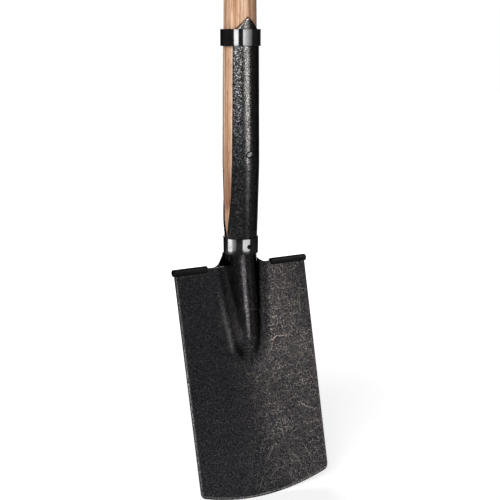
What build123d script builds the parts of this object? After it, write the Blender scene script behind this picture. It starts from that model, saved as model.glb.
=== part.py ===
from build123d import *
import math
import os

# Grubbing spade: a forged blade with a pressed frog and a long front strap, a rear strap with a
# flared root, two slit-tube treads, two rings, rivets, and an ash shaft with a wedged T-grip.
# Millimetres. The shaft's axis is Z, the blade's width is along X, and the soil face looks along -Y.
# Heights count from the tread line. The finished pieces are lowered by CLIP_HEIGHT, so that the
# origin lies on the shaft's axis in the middle of its parallel stretch.

# Blade sheet, measured down its slope from the tread line
BLADE_CANT = 14.0
BLADE_SET_FORWARD = 1.2
BLADE_TOP_WIDTH = 187.0
BLADE_EDGE_WIDTH = 184.4
BLADE_LENGTH = 293.5
EDGE_SAGITTA = 16.5
CORNER_RADIUS = 5.0
BLADE_GAUGE = 3.0
EDGE_GAUGE = 2.2
BEVEL_WIDTH = 1.8
BEVEL_DEPTH = 0.9
BLADE_HOLLOW = 6.0
TOP_EDGE_RISE = 1.5

# Frog: the hollow bulge that is pressed forward below the socket
FROG_LENGTH = 134.0
FROG_NOSE_LENGTH = 50.0
FROG_HALF_WIDTH = 40.0
FROG_NOSE_HALF_WIDTH = 35.0
FROG_NOSE_RISE = 10.8
FROG_NOSE_RADIUS = 16.0

# Straps, two tapered half shells round the shaft
STRAP_TIP_HEIGHT = 304.5
STRAP_BELLY_HEIGHT = 130.0
STRAP_TIP_RADIUS = 23.3
STRAP_BELLY_RADIUS = 23.8
STRAP_FOOT_RADIUS = 20.6
STRAP_TIP_GAUGE = 3.2
STRAP_GAUGE = 2.6
STRAP_FOOT_GAUGE = 2.0
GABLE_HEIGHT = 15.5
GABLE_LEAN = 2.0
FRONT_STRAP_TOP_HALF_WIDTH = 18.1
FRONT_STRAP_FOOT_HALF_WIDTH = 21.0
REAR_STRAP_HALF_WIDTH = 13.8
REAR_STRAP_WIDENING = 50.0
STRAP_SEAM = 1.4
STRAP_SEAM_SLOPE = 0.063
SOCKET_DEPTH = 20.0
FROG_LAP = 2.0
FROG_STEP = 0.3

# Root of the rear strap, a tongue that lies on the back of the blade
TONGUE_LENGTH = 112.0
TONGUE_BULGE_LENGTH = 100.0
TONGUE_SPREAD = 37.0
TONGUE_NOSE_HALF_WIDTH = 15.0
TONGUE_SHOULDER_HALF_WIDTH = 39.0
FLARE_RADIUS = 17.0
WELD_GAP = 0.2
REAR_LAP_HEIGHT = 2.5

# Rings
RING_HEIGHT = 20.0
RING_GAUGE = 1.5
RING_EDGE = 0.4
LOWER_RING_BASE = 17.3
UPPER_RING_DROP = 32.9
RING_FIT = 0.2

# Treads, slit tubes on the blade's shoulders
TREAD_RADIUS = 4.5
TREAD_WALL = 1.4
TREAD_OVERHANG = 1.8
LEFT_TREAD_LENGTH = 47.0
RIGHT_TREAD_LENGTH = 53.0

# Rivets and pins
RIVET_HEIGHT = 142.0
RIVET_RADIUS = 3.0
RIVET_HEAD_RADIUS = 4.8
RIVET_HEAD_RISE = 2.2
RING_PIN_RADIUS = 1.8
RING_PIN_HEAD_RADIUS = 2.9
RING_PIN_HEAD_RISE = 0.8
RING_PIN_LENGTH = 16.0

# Ash shaft
PARALLEL_RADIUS = 18.0
PARALLEL_BASE = 480.0
PARALLEL_LENGTH = 260.0
NECK_RADIUS = 16.5
NECK_LENGTH = 32.0
SHAFT_FOOT_DEPTH = 12.0
SHAFT_FOOT_RADIUS = 9.0

# T-grip
GRIP_HEIGHT = 862.0
GRIP_LENGTH = 140.0
GRIP_MIDDLE_RADIUS = 18.0
GRIP_WAIST_RADIUS = 14.5
GRIP_END_RADIUS = 16.5
GRIP_END_ROUND = 8.0
TENON_RADIUS = 12.0
WEDGE_DEPTH = 22.0
WEDGE_TOP_THICKNESS = 3.0
WEDGE_FOOT_THICKNESS = 0.8
GRIP_PIN_RADIUS = 2.5
GRIP_PIN_DROP = 8.0

# Clearance round the shaft, the rivets and pins, and inside the treads
CLOSE_FIT = 0.1

# Values that follow from the sizes above
CLIP_HEIGHT = PARALLEL_BASE + PARALLEL_LENGTH / 2
SIN_CANT = math.sin(math.radians(BLADE_CANT))
COS_CANT = math.cos(math.radians(BLADE_CANT))
BLADE_PLANE = Plane((0, -BLADE_SET_FORWARD, 0), x_dir=(1, 0, 0), z_dir=(0, -COS_CANT, SIN_CANT))
UPPER_RING_BASE = STRAP_TIP_HEIGHT - UPPER_RING_DROP
TONGUE_TOP = LOWER_RING_BASE - RING_FIT
NECK_HEIGHT = GRIP_HEIGHT - NECK_LENGTH
REACH = 2 * BLADE_LENGTH

# Spacing of the pressed sheets' sections and of the points along each, and their trimming allowance
SECTION_STEP = 10.0
SECTION_SPACING = 5.0
TRIM = 6.0


def blend(start, end, share):
    return start + (end - start) * share


def strap_radius(height):
    """Outer radius of the straps: a slow cone above the belly and a quicker one below it."""
    if height > STRAP_BELLY_HEIGHT:
        share = (height - STRAP_BELLY_HEIGHT) / (STRAP_TIP_HEIGHT - STRAP_BELLY_HEIGHT)
        return blend(STRAP_BELLY_RADIUS, STRAP_TIP_RADIUS, share)
    share = (STRAP_BELLY_HEIGHT - height) / (STRAP_BELLY_HEIGHT - LOWER_RING_BASE)
    return blend(STRAP_BELLY_RADIUS, STRAP_FOOT_RADIUS, share)


def wood_radius(height):
    """Radius of the shaft where the straps lie on it; they thicken from the foot to their tips."""
    if height > STRAP_BELLY_HEIGHT:
        share = (height - STRAP_BELLY_HEIGHT) / (STRAP_TIP_HEIGHT - STRAP_BELLY_HEIGHT)
        return strap_radius(height) - blend(STRAP_GAUGE, STRAP_TIP_GAUGE, share) - CLOSE_FIT
    share = (STRAP_BELLY_HEIGHT - height) / (STRAP_BELLY_HEIGHT - LOWER_RING_BASE)
    return strap_radius(height) - blend(STRAP_GAUGE, STRAP_FOOT_GAUGE, share) - CLOSE_FIT


def turned(points):
    """Solid of revolution about the shaft's axis, from (radius, height) points."""
    return revolve(Plane.XZ * make_face(Polyline(*points, close=True)), Axis.Z)


def front_prism(outline, start, toward):
    """Prism of a front-view outline, from y = start towards the front (-1) or the rear (+1)."""
    return extrude(Plane.XZ.offset(-start) * outline, amount=REACH, dir=(0, toward, 0))


def bulge(x, height, crown, foot):
    """Rise of a pressed section at x: a crown arc that runs into a reversed arc and dies out at its foot."""
    across = abs(x)
    if height <= 0 or across >= foot:
        return 0.0
    spread = (foot**2 + height**2) / (2 * height)
    hollow = spread - crown
    if across < foot * crown / spread:
        return height - crown + math.sqrt(crown**2 - across**2)
    return hollow - math.sqrt(hollow**2 - (foot - across) ** 2)


def gauge(slope):
    """Thickness of the blade sheet, which thins evenly to its cutting edge."""
    return blend(BLADE_GAUGE, EDGE_GAUGE, max(slope, 0) / BLADE_LENGTH)


def dish(x, slope):
    """Depth of the blade's hollow, none at the treads and greatest in the middle of the edge."""
    return BLADE_HOLLOW * (max(slope, 0) / BLADE_LENGTH) ** 2 * (1 - (2 * x / BLADE_TOP_WIDTH) ** 2)


def frog_rise(x, slope, inset):
    """Rise of the frog: its crest starts level with the front strap, falls evenly and rounds off over
    the nose, where the two sides of its foot close in an ellipse."""
    radius = strap_radius(max(-slope, 0))
    top = (radius - BLADE_SET_FORWARD - min(slope, 0) * SIN_CANT) / COS_CANT - BLADE_GAUGE / 2 + FROG_STEP
    nose_start = FROG_LENGTH - FROG_NOSE_LENGTH
    share = max(slope, 0) / nose_start
    nose = min(max(slope - nose_start, 0) / FROG_NOSE_LENGTH, 1)
    crest = blend(top, FROG_NOSE_RISE, share) * (1 - nose**3) ** 2
    crown = blend(radius, FROG_NOSE_RADIUS, share)
    foot = blend(FROG_HALF_WIDTH, FROG_NOSE_HALF_WIDTH, share) * math.sqrt(1 - nose**2)
    return bulge(x, crest, crown - inset, foot)


def tongue_rise(x, slope, inset):
    """Depth of the tongue's hollow: in line with the rear strap at its top, flat at its end."""
    radius = strap_radius(0)
    seat = BLADE_GAUGE / 2 + WELD_GAP + STRAP_GAUGE - FROG_STEP
    crest = (radius + BLADE_SET_FORWARD + min(slope, 0) * SIN_CANT) / COS_CANT - seat
    share = min(max(slope, 0) / TONGUE_BULGE_LENGTH, 1)
    depth = crest * (1 - share)
    foot = math.sqrt(depth * (2 * TONGUE_SPREAD - depth))
    return bulge(x, depth, radius * (1 - share / 2) - inset, foot)


def blade_front(x, slope):
    return gauge(slope) / 2 + frog_rise(x, slope, 0) - dish(x, slope)


def blade_rear(x, slope):
    return -gauge(slope) / 2 + frog_rise(x, slope, BLADE_GAUGE) - dish(x, slope)


def tongue_front(x, slope):
    return -gauge(slope) / 2 - WELD_GAP - dish(x, slope) - tongue_rise(x, slope, STRAP_GAUGE)


def tongue_rear(x, slope):
    return -gauge(slope) / 2 - WELD_GAP - STRAP_GAUGE - dish(x, slope) - tongue_rise(x, slope, 0)


def formed_section(front, rear, half_width, slope):
    """Section of a pressed sheet, at one distance down the slope, between its front and rear curves."""
    columns = 2 * math.ceil(half_width / SECTION_SPACING)
    shares = [column / columns for column in range(columns + 1)]
    spots = [blend(-half_width, half_width, share) for share in shares]
    over = Edge.make_spline([(x, -slope, front(x, slope)) for x in spots], parameters=shares)
    under = Edge.make_spline([(x, -slope, rear(x, slope)) for x in spots], parameters=shares)
    return Face(Wire([over, Line(over @ 1, under @ 1), under, Line(under @ 0, over @ 0)]))


def formed_sheet(front, rear, half_width, start, end):
    """Pressed sheet over the blade plane, lofted through evenly spaced sections."""
    count = math.ceil((end - start) / SECTION_STEP)
    slopes = [blend(start, end, row / count) for row in range(count + 1)]
    return loft([formed_section(front, rear, half_width, slope) for slope in slopes])


def slope_band(start, end):
    """Block that holds everything from one distance down the blade's slope to another."""
    return Pos(0, -(start + end) / 2, 0) * Box(REACH, end - start, REACH)


def blade_outline():
    """Outline of the sheet: a straight top, slightly drawn-in sides and a bowed cutting edge."""
    top, side = BLADE_TOP_WIDTH / 2, BLADE_EDGE_WIDTH / 2
    corner = -BLADE_LENGTH + EDGE_SAGITTA
    return make_face(
        [
            Line((-side, corner), (-top, TOP_EDGE_RISE)),
            Line((-top, TOP_EDGE_RISE), (top, TOP_EDGE_RISE)),
            Line((top, TOP_EDGE_RISE), (side, corner)),
            ThreePointArc((side, corner), (0, -BLADE_LENGTH), (-side, corner)),
        ]
    )


def blade_sheet():
    """Pressed sheet, trimmed to its outline, ground along the cutting edge and rounded at its corners."""
    half_width, end = max(BLADE_TOP_WIDTH, BLADE_EDGE_WIDTH) / 2 + TRIM, BLADE_LENGTH + TRIM
    sheet = formed_sheet(blade_front, blade_rear, half_width, -TOP_EDGE_RISE - TRIM, end)
    outline = blade_outline()
    sheet &= extrude(outline, amount=REACH, both=True)
    front_edge = sheet.edges().group_by(Axis.Y)[0].sort_by(Axis.Z)[-1]
    front_face = sheet.faces().filter_by(GeomType.BSPLINE).sort_by(Axis.Z)[-1]
    sheet = chamfer(front_edge, BEVEL_WIDTH, BEVEL_DEPTH, reference=front_face)
    rounded = fillet(outline.vertices().group_by(Axis.Y)[0], CORNER_RADIUS)
    return sheet & extrude(rounded, amount=REACH, both=True)


def strap_shell():
    """Full tapered shell that both straps are cut from."""
    stations = [-SOCKET_DEPTH, STRAP_BELLY_HEIGHT, STRAP_TIP_HEIGHT]
    outside = [(strap_radius(height), height) for height in stations]
    inside = [(wood_radius(height) + CLOSE_FIT, height) for height in reversed(stations)]
    return turned(outside + inside)


def strap_core():
    """Solid inside the straps' outer faces, which the rivet's heads are bedded on."""
    stations = [-SOCKET_DEPTH, STRAP_BELLY_HEIGHT, STRAP_TIP_HEIGHT]
    outside = [(strap_radius(height) + CLOSE_FIT, height) for height in stations]
    return turned([(0, -SOCKET_DEPTH)] + outside + [(0, STRAP_TIP_HEIGHT)])


def front_strap():
    """Front strap: nearly even in front view, with a gabled tip, and cut to the frog at its foot."""
    eaves = STRAP_TIP_HEIGHT - GABLE_HEIGHT
    outline = Polyline(
        (-FRONT_STRAP_FOOT_HALF_WIDTH, -SOCKET_DEPTH),
        (FRONT_STRAP_FOOT_HALF_WIDTH, -SOCKET_DEPTH),
        (FRONT_STRAP_TOP_HALF_WIDTH, eaves),
        (-GABLE_LEAN, STRAP_TIP_HEIGHT),
        (-FRONT_STRAP_TOP_HALF_WIDTH, eaves),
        close=True,
    )
    strap = strap_shell() & front_prism(make_face(outline), -STRAP_SEAM / 2, -1)
    return strap & BLADE_PLANE.location * slope_band(-REACH, FROG_LAP)


def blade():
    """Blade sheet with its frog and the front strap, one forging."""
    forging = BLADE_PLANE.location * blade_sheet() + front_strap()
    return forging - strap_rivet_hole() - ring_pin_hole()


def tongue():
    """Flared root of the rear strap, laid on the back of the blade below the lower ring."""
    shoulder, nose = TONGUE_SHOULDER_HALF_WIDTH, TONGUE_NOSE_HALF_WIDTH
    top, end = FLARE_RADIUS + TRIM, nose - TONGUE_LENGTH
    plan = make_face(
        [
            Polyline((-nose, end), (-shoulder, 0), (-shoulder, top)),
            Polyline((-shoulder, top), (shoulder, top), (shoulder, 0), (nose, end)),
            ThreePointArc((nose, end), (0, -TONGUE_LENGTH), (-nose, end)),
        ]
    )
    sheet = formed_sheet(tongue_front, tongue_rear, shoulder + TRIM, -top, TONGUE_LENGTH + TRIM)
    sheet = BLADE_PLANE.location * (sheet & extrude(plan, amount=REACH, both=True))
    neck = shoulder - FLARE_RADIUS
    flare_base = TONGUE_TOP - FLARE_RADIUS
    dip = FLARE_RADIUS * math.sqrt(0.5)
    flare = make_face(
        [
            Polyline(
                (-shoulder, flare_base), (-shoulder, -REACH), (shoulder, -REACH), (shoulder, flare_base)
            ),
            ThreePointArc((shoulder, flare_base), (shoulder - dip, TONGUE_TOP - dip), (neck, TONGUE_TOP)),
            Line((neck, TONGUE_TOP), (-neck, TONGUE_TOP)),
            ThreePointArc((-neck, TONGUE_TOP), (dip - shoulder, TONGUE_TOP - dip), (-shoulder, flare_base)),
        ]
    )
    return sheet & front_prism(flare, -REACH / 2, 1)


def rear_strap():
    """Rear strap: narrow above, widening to a half shell, with its tongue on the blade's back."""
    eaves = STRAP_TIP_HEIGHT - GABLE_HEIGHT
    half, full = REAR_STRAP_HALF_WIDTH, STRAP_BELLY_RADIUS
    widened = STRAP_BELLY_HEIGHT - REAR_STRAP_WIDENING
    outline = Polyline(
        (-full, REAR_LAP_HEIGHT),
        (full, REAR_LAP_HEIGHT),
        (full, widened),
        (half, STRAP_BELLY_HEIGHT),
        (half, eaves),
        (0, STRAP_TIP_HEIGHT),
        (-half, eaves),
        (-half, STRAP_BELLY_HEIGHT),
        (-full, widened),
        close=True,
    )
    strap = strap_shell() & front_prism(make_face(outline), 0, 1)
    seam_top = STRAP_SEAM / 2 + STRAP_SEAM_SLOPE * STRAP_TIP_HEIGHT
    seam = Polyline(
        (STRAP_SEAM / 2, 0),
        (REACH, 0),
        (REACH, STRAP_TIP_HEIGHT),
        (seam_top, STRAP_TIP_HEIGHT),
        close=True,
    )
    strap &= extrude(Plane.YZ * make_face(seam), amount=REACH, both=True)
    return strap + tongue() - strap_rivet_hole()


def tread(side, length):
    """Slit tube pushed over the blade's top edge, on the left (-1) or the right (+1)."""
    section = Circle(TREAD_RADIUS) - Circle(TREAD_RADIUS - TREAD_WALL)
    section -= Pos(-TREAD_RADIUS, 0) * Rectangle(2 * TREAD_RADIUS, BLADE_GAUGE + 2 * CLOSE_FIT)
    outer = BLADE_TOP_WIDTH / 2 + TREAD_OVERHANG
    start = outer - length if side > 0 else -outer
    end_plane = Plane((start, 0, 0), x_dir=(0, 1, 0), z_dir=(1, 0, 0))
    return BLADE_PLANE.location * extrude(end_plane * section, amount=length)


def ring(base):
    """Band with broken edges that clamps both straps, bored to their taper."""
    top = base + RING_HEIGHT
    outside = ring_radius(base)
    return turned(
        [
            (strap_radius(base) + RING_FIT, base),
            (outside - RING_EDGE, base),
            (outside, base + RING_EDGE),
            (outside, top - RING_EDGE),
            (outside - RING_EDGE, top),
            (strap_radius(top) + RING_FIT, top),
        ]
    )


def ring_radius(base):
    return strap_radius(base + RING_HEIGHT / 2) + RING_FIT + RING_GAUGE


def cross_hole(height, radius, start, end):
    """Round bar along Y between two depths, as a shank or as the hole for one."""
    return Pos(0, (start + end) / 2, height) * Rot(90, 0, 0) * Cylinder(radius, abs(end - start))


def domed_head(height, seat, radius, rise):
    """Domed head that looks forward, with its rim at y = -seat and its foot sunk by its own radius."""
    ball = (rise**2 + radius**2) / (2 * rise)
    half_turn = math.asin(radius / ball) / 2
    crest = -seat - rise
    middle = (ball * math.sin(half_turn), crest + ball * (1 - math.cos(half_turn)))
    arc = ThreePointArc((0, crest), middle, (radius, -seat))
    rest = Polyline((radius, -seat), (radius, radius - seat), (0, radius - seat), (0, crest))
    return Pos(0, 0, height) * revolve(make_face([arc, rest]), Axis.Y)


def strap_rivet_hole():
    through = 2 * STRAP_BELLY_RADIUS
    return cross_hole(RIVET_HEIGHT, RIVET_RADIUS + CLOSE_FIT, -through, through)


def strap_rivet():
    """Through rivet with a domed head bedded on each strap."""
    seat = strap_radius(RIVET_HEIGHT)
    head = domed_head(RIVET_HEIGHT, seat, RIVET_HEAD_RADIUS, RIVET_HEAD_RISE) - strap_core()
    shank_end = seat + RIVET_HEAD_RISE / 2
    shank = cross_hole(RIVET_HEIGHT, RIVET_RADIUS, -shank_end, shank_end)
    return shank + head + Rot(0, 0, 180) * head


def ring_pin_hole():
    height = LOWER_RING_BASE + RING_HEIGHT / 2
    seat = ring_radius(LOWER_RING_BASE)
    return cross_hole(height, RING_PIN_RADIUS + CLOSE_FIT, -2 * seat, RING_PIN_LENGTH + CLOSE_FIT - seat)


def ring_pin():
    """Short headed pin that keeps the lower ring from creeping up the taper."""
    height = LOWER_RING_BASE + RING_HEIGHT / 2
    seat = ring_radius(LOWER_RING_BASE)
    head = domed_head(height, seat, RING_PIN_HEAD_RADIUS, RING_PIN_HEAD_RISE)
    head -= Pos(0, 0, height) * Cylinder(seat + CLOSE_FIT, RING_HEIGHT)
    shank_end = seat + RING_PIN_HEAD_RISE / 2
    return head + cross_hole(height, RING_PIN_RADIUS, -shank_end, RING_PIN_LENGTH - seat)


def grip_body():
    """T-grip before it is bored: a turned bar with a full middle, two waists and rounded ends."""
    half = GRIP_LENGTH / 2
    edge = Spline(
        (half, GRIP_END_RADIUS),
        (half / 2, GRIP_WAIST_RADIUS),
        (0, GRIP_MIDDLE_RADIUS),
        (-half / 2, GRIP_WAIST_RADIUS),
        (-half, GRIP_END_RADIUS),
    )
    rest = Polyline((-half, GRIP_END_RADIUS), (-half, 0), (half, 0), (half, GRIP_END_RADIUS))
    face = make_face([edge, rest])
    face = fillet(face.vertices().group_by(Axis.Y)[-1], GRIP_END_ROUND)
    return Pos(0, 0, GRIP_HEIGHT) * revolve(face, Axis.X)


def grip_wedge():
    """Hardwood wedge across the grip's length, flush with its top."""
    top = GRIP_HEIGHT + GRIP_MIDDLE_RADIUS
    foot = top - WEDGE_DEPTH
    outline = Polyline(
        (-WEDGE_FOOT_THICKNESS / 2, foot),
        (WEDGE_FOOT_THICKNESS / 2, foot),
        (WEDGE_TOP_THICKNESS / 2, top),
        (-WEDGE_TOP_THICKNESS / 2, top),
        close=True,
    )
    return front_prism(make_face(outline), -REACH / 2, 1) & tenon()


def tenon():
    """Round end of the shaft inside the grip, flush with the grip's top."""
    return Pos(0, 0, GRIP_HEIGHT) * Cylinder(TENON_RADIUS, 2 * GRIP_LENGTH) & grip_body()


def grip_pin_bar(radius):
    return cross_hole(GRIP_HEIGHT - GRIP_PIN_DROP, radius, -GRIP_LENGTH, GRIP_LENGTH)


def grip_bar():
    """T-grip, bored for the tenon and the pin."""
    mortise = Pos(0, 0, GRIP_HEIGHT) * Cylinder(TENON_RADIUS + CLOSE_FIT, 2 * GRIP_LENGTH)
    return grip_body() - mortise - grip_pin_bar(GRIP_PIN_RADIUS + CLOSE_FIT)


def shaft():
    """Ash shaft: tapered foot, swell inside the straps, parallel stretch, neck coped to the grip."""
    parallel_top = PARALLEL_BASE + PARALLEL_LENGTH
    stations = [LOWER_RING_BASE + RING_HEIGHT / 2, STRAP_BELLY_HEIGHT, STRAP_TIP_HEIGHT]
    outline = [(0, -SHAFT_FOOT_DEPTH), (SHAFT_FOOT_RADIUS, -SHAFT_FOOT_DEPTH)]
    outline += [(wood_radius(height), height) for height in stations]
    outline += [(PARALLEL_RADIUS, PARALLEL_BASE), (PARALLEL_RADIUS, parallel_top)]
    outline += [(NECK_RADIUS, NECK_HEIGHT), (NECK_RADIUS, GRIP_HEIGHT), (0, GRIP_HEIGHT)]
    stem = turned(outline) - Pos(0, 0, -CLOSE_FIT) * grip_body()
    tenon_root = Cylinder(TENON_RADIUS, NECK_LENGTH)
    stem += Pos(0, 0, GRIP_HEIGHT - NECK_LENGTH / 2) * tenon_root + tenon()
    stem -= grip_wedge()
    return stem - strap_rivet_hole() - ring_pin_hole() - grip_pin_bar(GRIP_PIN_RADIUS + CLOSE_FIT)


pieces = {
    "blade": blade(),
    "rear_strap": rear_strap(),
    "left_tread": tread(-1, LEFT_TREAD_LENGTH),
    "right_tread": tread(1, RIGHT_TREAD_LENGTH),
    "lower_ring": ring(LOWER_RING_BASE) - ring_pin_hole(),
    "upper_ring": ring(UPPER_RING_BASE),
    "strap_rivet": strap_rivet(),
    "ring_pin": ring_pin(),
    "shaft": shaft(),
    "grip_bar": grip_bar(),
    "grip_wedge": grip_wedge(),
    "grip_pin": grip_pin_bar(GRIP_PIN_RADIUS) & grip_body(),
}

os.makedirs("parts", exist_ok=True)
for name, piece in pieces.items():
    export_step(Pos(0, 0, -CLIP_HEIGHT) * piece, f"parts/{name}.step")
    print(name, len(piece.solids()), round(piece.volume))
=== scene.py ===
import math
from functools import partial

import bpy
import numpy as np
from bpy.props import FloatProperty, FloatVectorProperty, PointerProperty
from bpy.types import Operator, Panel, PropertyGroup
from mathutils import Matrix, Vector


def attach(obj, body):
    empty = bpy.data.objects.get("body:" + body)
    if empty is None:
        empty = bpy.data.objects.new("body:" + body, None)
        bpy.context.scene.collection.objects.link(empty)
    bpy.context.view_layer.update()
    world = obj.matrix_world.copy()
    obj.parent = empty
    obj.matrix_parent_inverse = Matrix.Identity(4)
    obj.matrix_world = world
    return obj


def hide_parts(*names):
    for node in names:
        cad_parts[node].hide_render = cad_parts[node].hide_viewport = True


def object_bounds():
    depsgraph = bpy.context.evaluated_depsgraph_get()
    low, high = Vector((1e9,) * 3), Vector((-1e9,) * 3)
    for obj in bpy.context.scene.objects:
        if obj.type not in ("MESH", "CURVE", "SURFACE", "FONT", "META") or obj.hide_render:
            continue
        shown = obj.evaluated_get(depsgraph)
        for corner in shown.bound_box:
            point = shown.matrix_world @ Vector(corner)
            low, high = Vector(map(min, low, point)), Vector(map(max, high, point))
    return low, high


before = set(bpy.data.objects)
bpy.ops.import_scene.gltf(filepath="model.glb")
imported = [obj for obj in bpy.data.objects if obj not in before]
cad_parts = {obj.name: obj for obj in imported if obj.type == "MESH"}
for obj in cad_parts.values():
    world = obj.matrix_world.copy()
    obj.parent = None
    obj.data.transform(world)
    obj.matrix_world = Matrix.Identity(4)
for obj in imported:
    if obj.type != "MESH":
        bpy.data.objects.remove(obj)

bl_info = {
    "name": "Grubbing spade",
    "version": (1, 0, 0),
    "blender": (4, 5, 0),
    "location": "View3D > Sidebar > Spade",
    "description": "Dresses the packed spade with forged, riveted and turned pieces and a studio stage",
    "category": "Add Mesh",
}

CAD_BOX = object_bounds()

# Sizes below are millimetres; heights count from the tread line, which lies this far under the origin
MM = 0.001
CLIP_HEIGHT = 610.0

# Blade plane
CANT = math.radians(14.0)
SIN_CANT, COS_CANT = math.sin(CANT), math.cos(CANT)
SET_FORWARD = 1.2
TOP_WIDTH, EDGE_WIDTH = 187.0, 184.4
BLADE_LENGTH, EDGE_SAGITTA, CORNER_RADIUS, CORNER_LEAN = 293.5, 16.5, 5.0, 0.14
BLADE_GAUGE, EDGE_GAUGE = 3.0, 2.2
BLADE_HOLLOW, TOP_EDGE_RISE = 6.0, 1.5

# Frog and neck. The blend from sheet to neck runs between two slopes, and between two distances from the
# middle at the front and at the rear; the seam is where the neck's middle panel meets its cheeks
FROG_LENGTH, FROG_NOSE_LENGTH, FROG_TURN, FROG_STEP = 134.0, 50.0, 9.0, 0.3
FROG_BODY_LENGTH = FROG_LENGTH - FROG_NOSE_LENGTH
FROG_HALF, FROG_NOSE_HALF, FROG_NOSE_RISE, FROG_NOSE_RADIUS = 40.0, 35.0, 10.8, 16.0
NECK_BLEND, NECK_FRONT, NECK_REAR, NECK_PROUD = (-17.0, 4.0), (14.5, 19.0), (12.0, 16.0), 0.1
NECK_TOP, NECK_SEAM, LIP_DEPTH, LIP_SINK = -24.0, 14.0, 9.0, 1.3

# Tongue and straps
TONGUE_LENGTH, TONGUE_BULGE_LENGTH, TONGUE_SPREAD = 112.0, 100.0, 37.0
TONGUE_NOSE, TONGUE_SHOULDER, FLARE_RADIUS, WELD_GAP = 15.0, 39.0, 17.0, 0.2
TONGUE_TOP, TONGUE_LEVELLED, TONGUE_BEND = -22.0, -14.0, 8.0
LEFT_STRAIGHT, RIGHT_STRAIGHT = 0.35, 0.0  # share of a straight line in the tongue's flares
TIP_HEIGHT, BELLY_HEIGHT, FOOT_HEIGHT, ROOT_HEIGHT = 304.5, 130.0, 17.3, -20.0
TIP_RADIUS, BELLY_RADIUS, FOOT_RADIUS = 23.3, 23.8, 20.6
TIP_GAUGE, STRAP_GAUGE, FOOT_GAUGE, ROOT_GAUGE = 3.2, 2.6, 2.0, 1.8
GABLE_HEIGHT, GABLE_LEAN = 17.7, 0.6
GABLE_ROUND = 0.25  # share of the gable that its round tip takes up
FRONT_FOOT, FRONT_TOP_HALF, FRONT_FOOT_HALF = 24.0, 18.1, 21.0
FOOT_FLARE, FLARE_FADE = math.radians(7.8), (45.0, 90.0)
REAR_LAP, SEAM = 2.5, 1.4
# Reach of the rear strap round the shaft, in degrees from straight behind, at heights up to its eaves
REAR_HEIGHTS, REAR_REACH = (42.0, 63.0, 85.0, 200.0, 289.0), (88.0, 60.0, 46.0, 41.0, 36.0)

# Rings, treads, rivet and pin
RING_HEIGHT, RING_GAUGE, RING_FIT, UPPER_RING_DROP = 20.0, 1.5, 0.2, 32.9
TREAD_RADIUS, TREAD_WALL, TREAD_OVERHANG = 4.5, 1.4, 1.8
LEFT_TREAD, RIGHT_TREAD = 47.0, 53.0
RIVET_HEIGHT, RIVET_HEAD, RIVET_RISE = 142.0, 4.8, 2.2
PIN_HEAD, PIN_RISE = 2.9, 0.8

# Shaft and grip
PARALLEL_RADIUS, PARALLEL_BASE, PARALLEL_LENGTH = 18.0, 480.0, 260.0
GRIP_NECK_RADIUS, GRIP_NECK_LENGTH = 16.5, 32.0
SHAFT_FOOT_DEPTH, SHAFT_FOOT_RADIUS, SHAFT_TOP_DEPTH = 12.0, 9.0, 8.0
GRIP_HEIGHT, GRIP_LENGTH = 862.0, 140.0
GRIP_MIDDLE, GRIP_WAIST, GRIP_END, GRIP_ROUND = 18.0, 14.5, 16.5, 8.0
WAIST_SLOPE, END_SLOPE, GRIP_SHRINK = -0.0953, 0.2531, 0.12
TENON_RADIUS, WEDGE_TOP, WEDGE_SINK, WEDGE_TAPER = 12.0, 3.0, 0.02, 0.6
GRIP_PIN_RADIUS, GRIP_PIN_DROP, GRIP_PIN_SINK, GRIP_PIN_RISE = 2.5, 8.0, 0.2, 0.5
CLOSE_FIT = 0.1

# Eased edges: how deep they are rounded off and how far in that reaches
SIDE_EASE, TOP_EASE, STRAP_EASE = (0.55, 0.9), (0.35, 0.8), (0.7, 1.3)
TONGUE_EASE, TREAD_EASE, TENON_EASE = (0.6, 1.2), (0.8, 0.9), (0.2, 0.3)
BEVEL_DEPTH, BEVEL_REACH, MOST_EASE = 0.9, 1.8, 1.1
SMOOTH_ANGLE = math.radians(38.0)

# Wear and painted highlights of the sheet: how far in from side and cutting edge its bright lines lie
# and how wide they are (the side line is worn steel and partly a painted highlight, the cutting edge's
# line is worn), where the lip carries a painted highlight, between which slopes the painted highlight at
# the frog's foot comes and goes, and how far left of the middle the crest is worn
SIDE_WEAR_AND_HIGHLIGHT, BEVEL_WEAR, WEAR_AND_HIGHLIGHT_WIDTH, LIP_HIGHLIGHT = 1.4, 2.5, 0.7, (24.0, 29.0)
FOOT_HIGHLIGHT_COMES, FOOT_HIGHLIGHT_GOES, FOOT_HIGHLIGHT_WIDTH, CREST_WEAR = (10.0, 85.0), (98.0, 114.0), 2.6, 6.0

# Stage, in metres, apart from the panels' place across the blade, which is in millimetres as above
FLOOR_HALF, FLOOR_GAP = 6.0, 0.0005
UPPER_SPAN, LOWER_SPAN = (-0.5, -0.15), (-1.0, -0.6)
PANEL_ACROSS, PANEL_AWAY, PANEL_SIDE, PANEL_BEAM = 50.0, 0.12, (0.45, -0.885, 0.1), math.radians(50)
BOUNCE_HEIGHT, BOUNCE_SIZE = -0.89, (2.6, 0.95)
WHITE, COOL, WARM, WARMER = (1.0, 1.0, 1.0), (0.97, 0.98, 1.0), (1.0, 0.96, 0.93), (1.0, 0.9, 0.83)
CAMERA_LENS, CAMERA_SENSOR = 72.43, 36.0
CAMERA_PLACE, CAMERA_SIGHT = (-0.59674, -1.08697, -0.31973), (0.47837, 0.85180, -0.21354)


def linear(hex_colour):
    """Linear RGBA of an sRGB hex colour."""
    srgb = np.array([int(hex_colour[i:i + 2], 16) for i in (1, 3, 5)]) / 255
    rgb = np.where(srgb <= 0.04045, srgb / 12.92, ((srgb + 0.055) / 1.055) ** 2.4)
    return (*rgb.tolist(), 1.0)


def grey(value):
    """Linear grey with full alpha."""
    return (value, value, value, 1.0)


def smooth_step(low, high, value):
    """Cubic ramp from 0 at low to 1 at high."""
    share = np.clip((value - low) / (high - low), 0, 1)
    return share * share * (3 - 2 * share)


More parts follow.
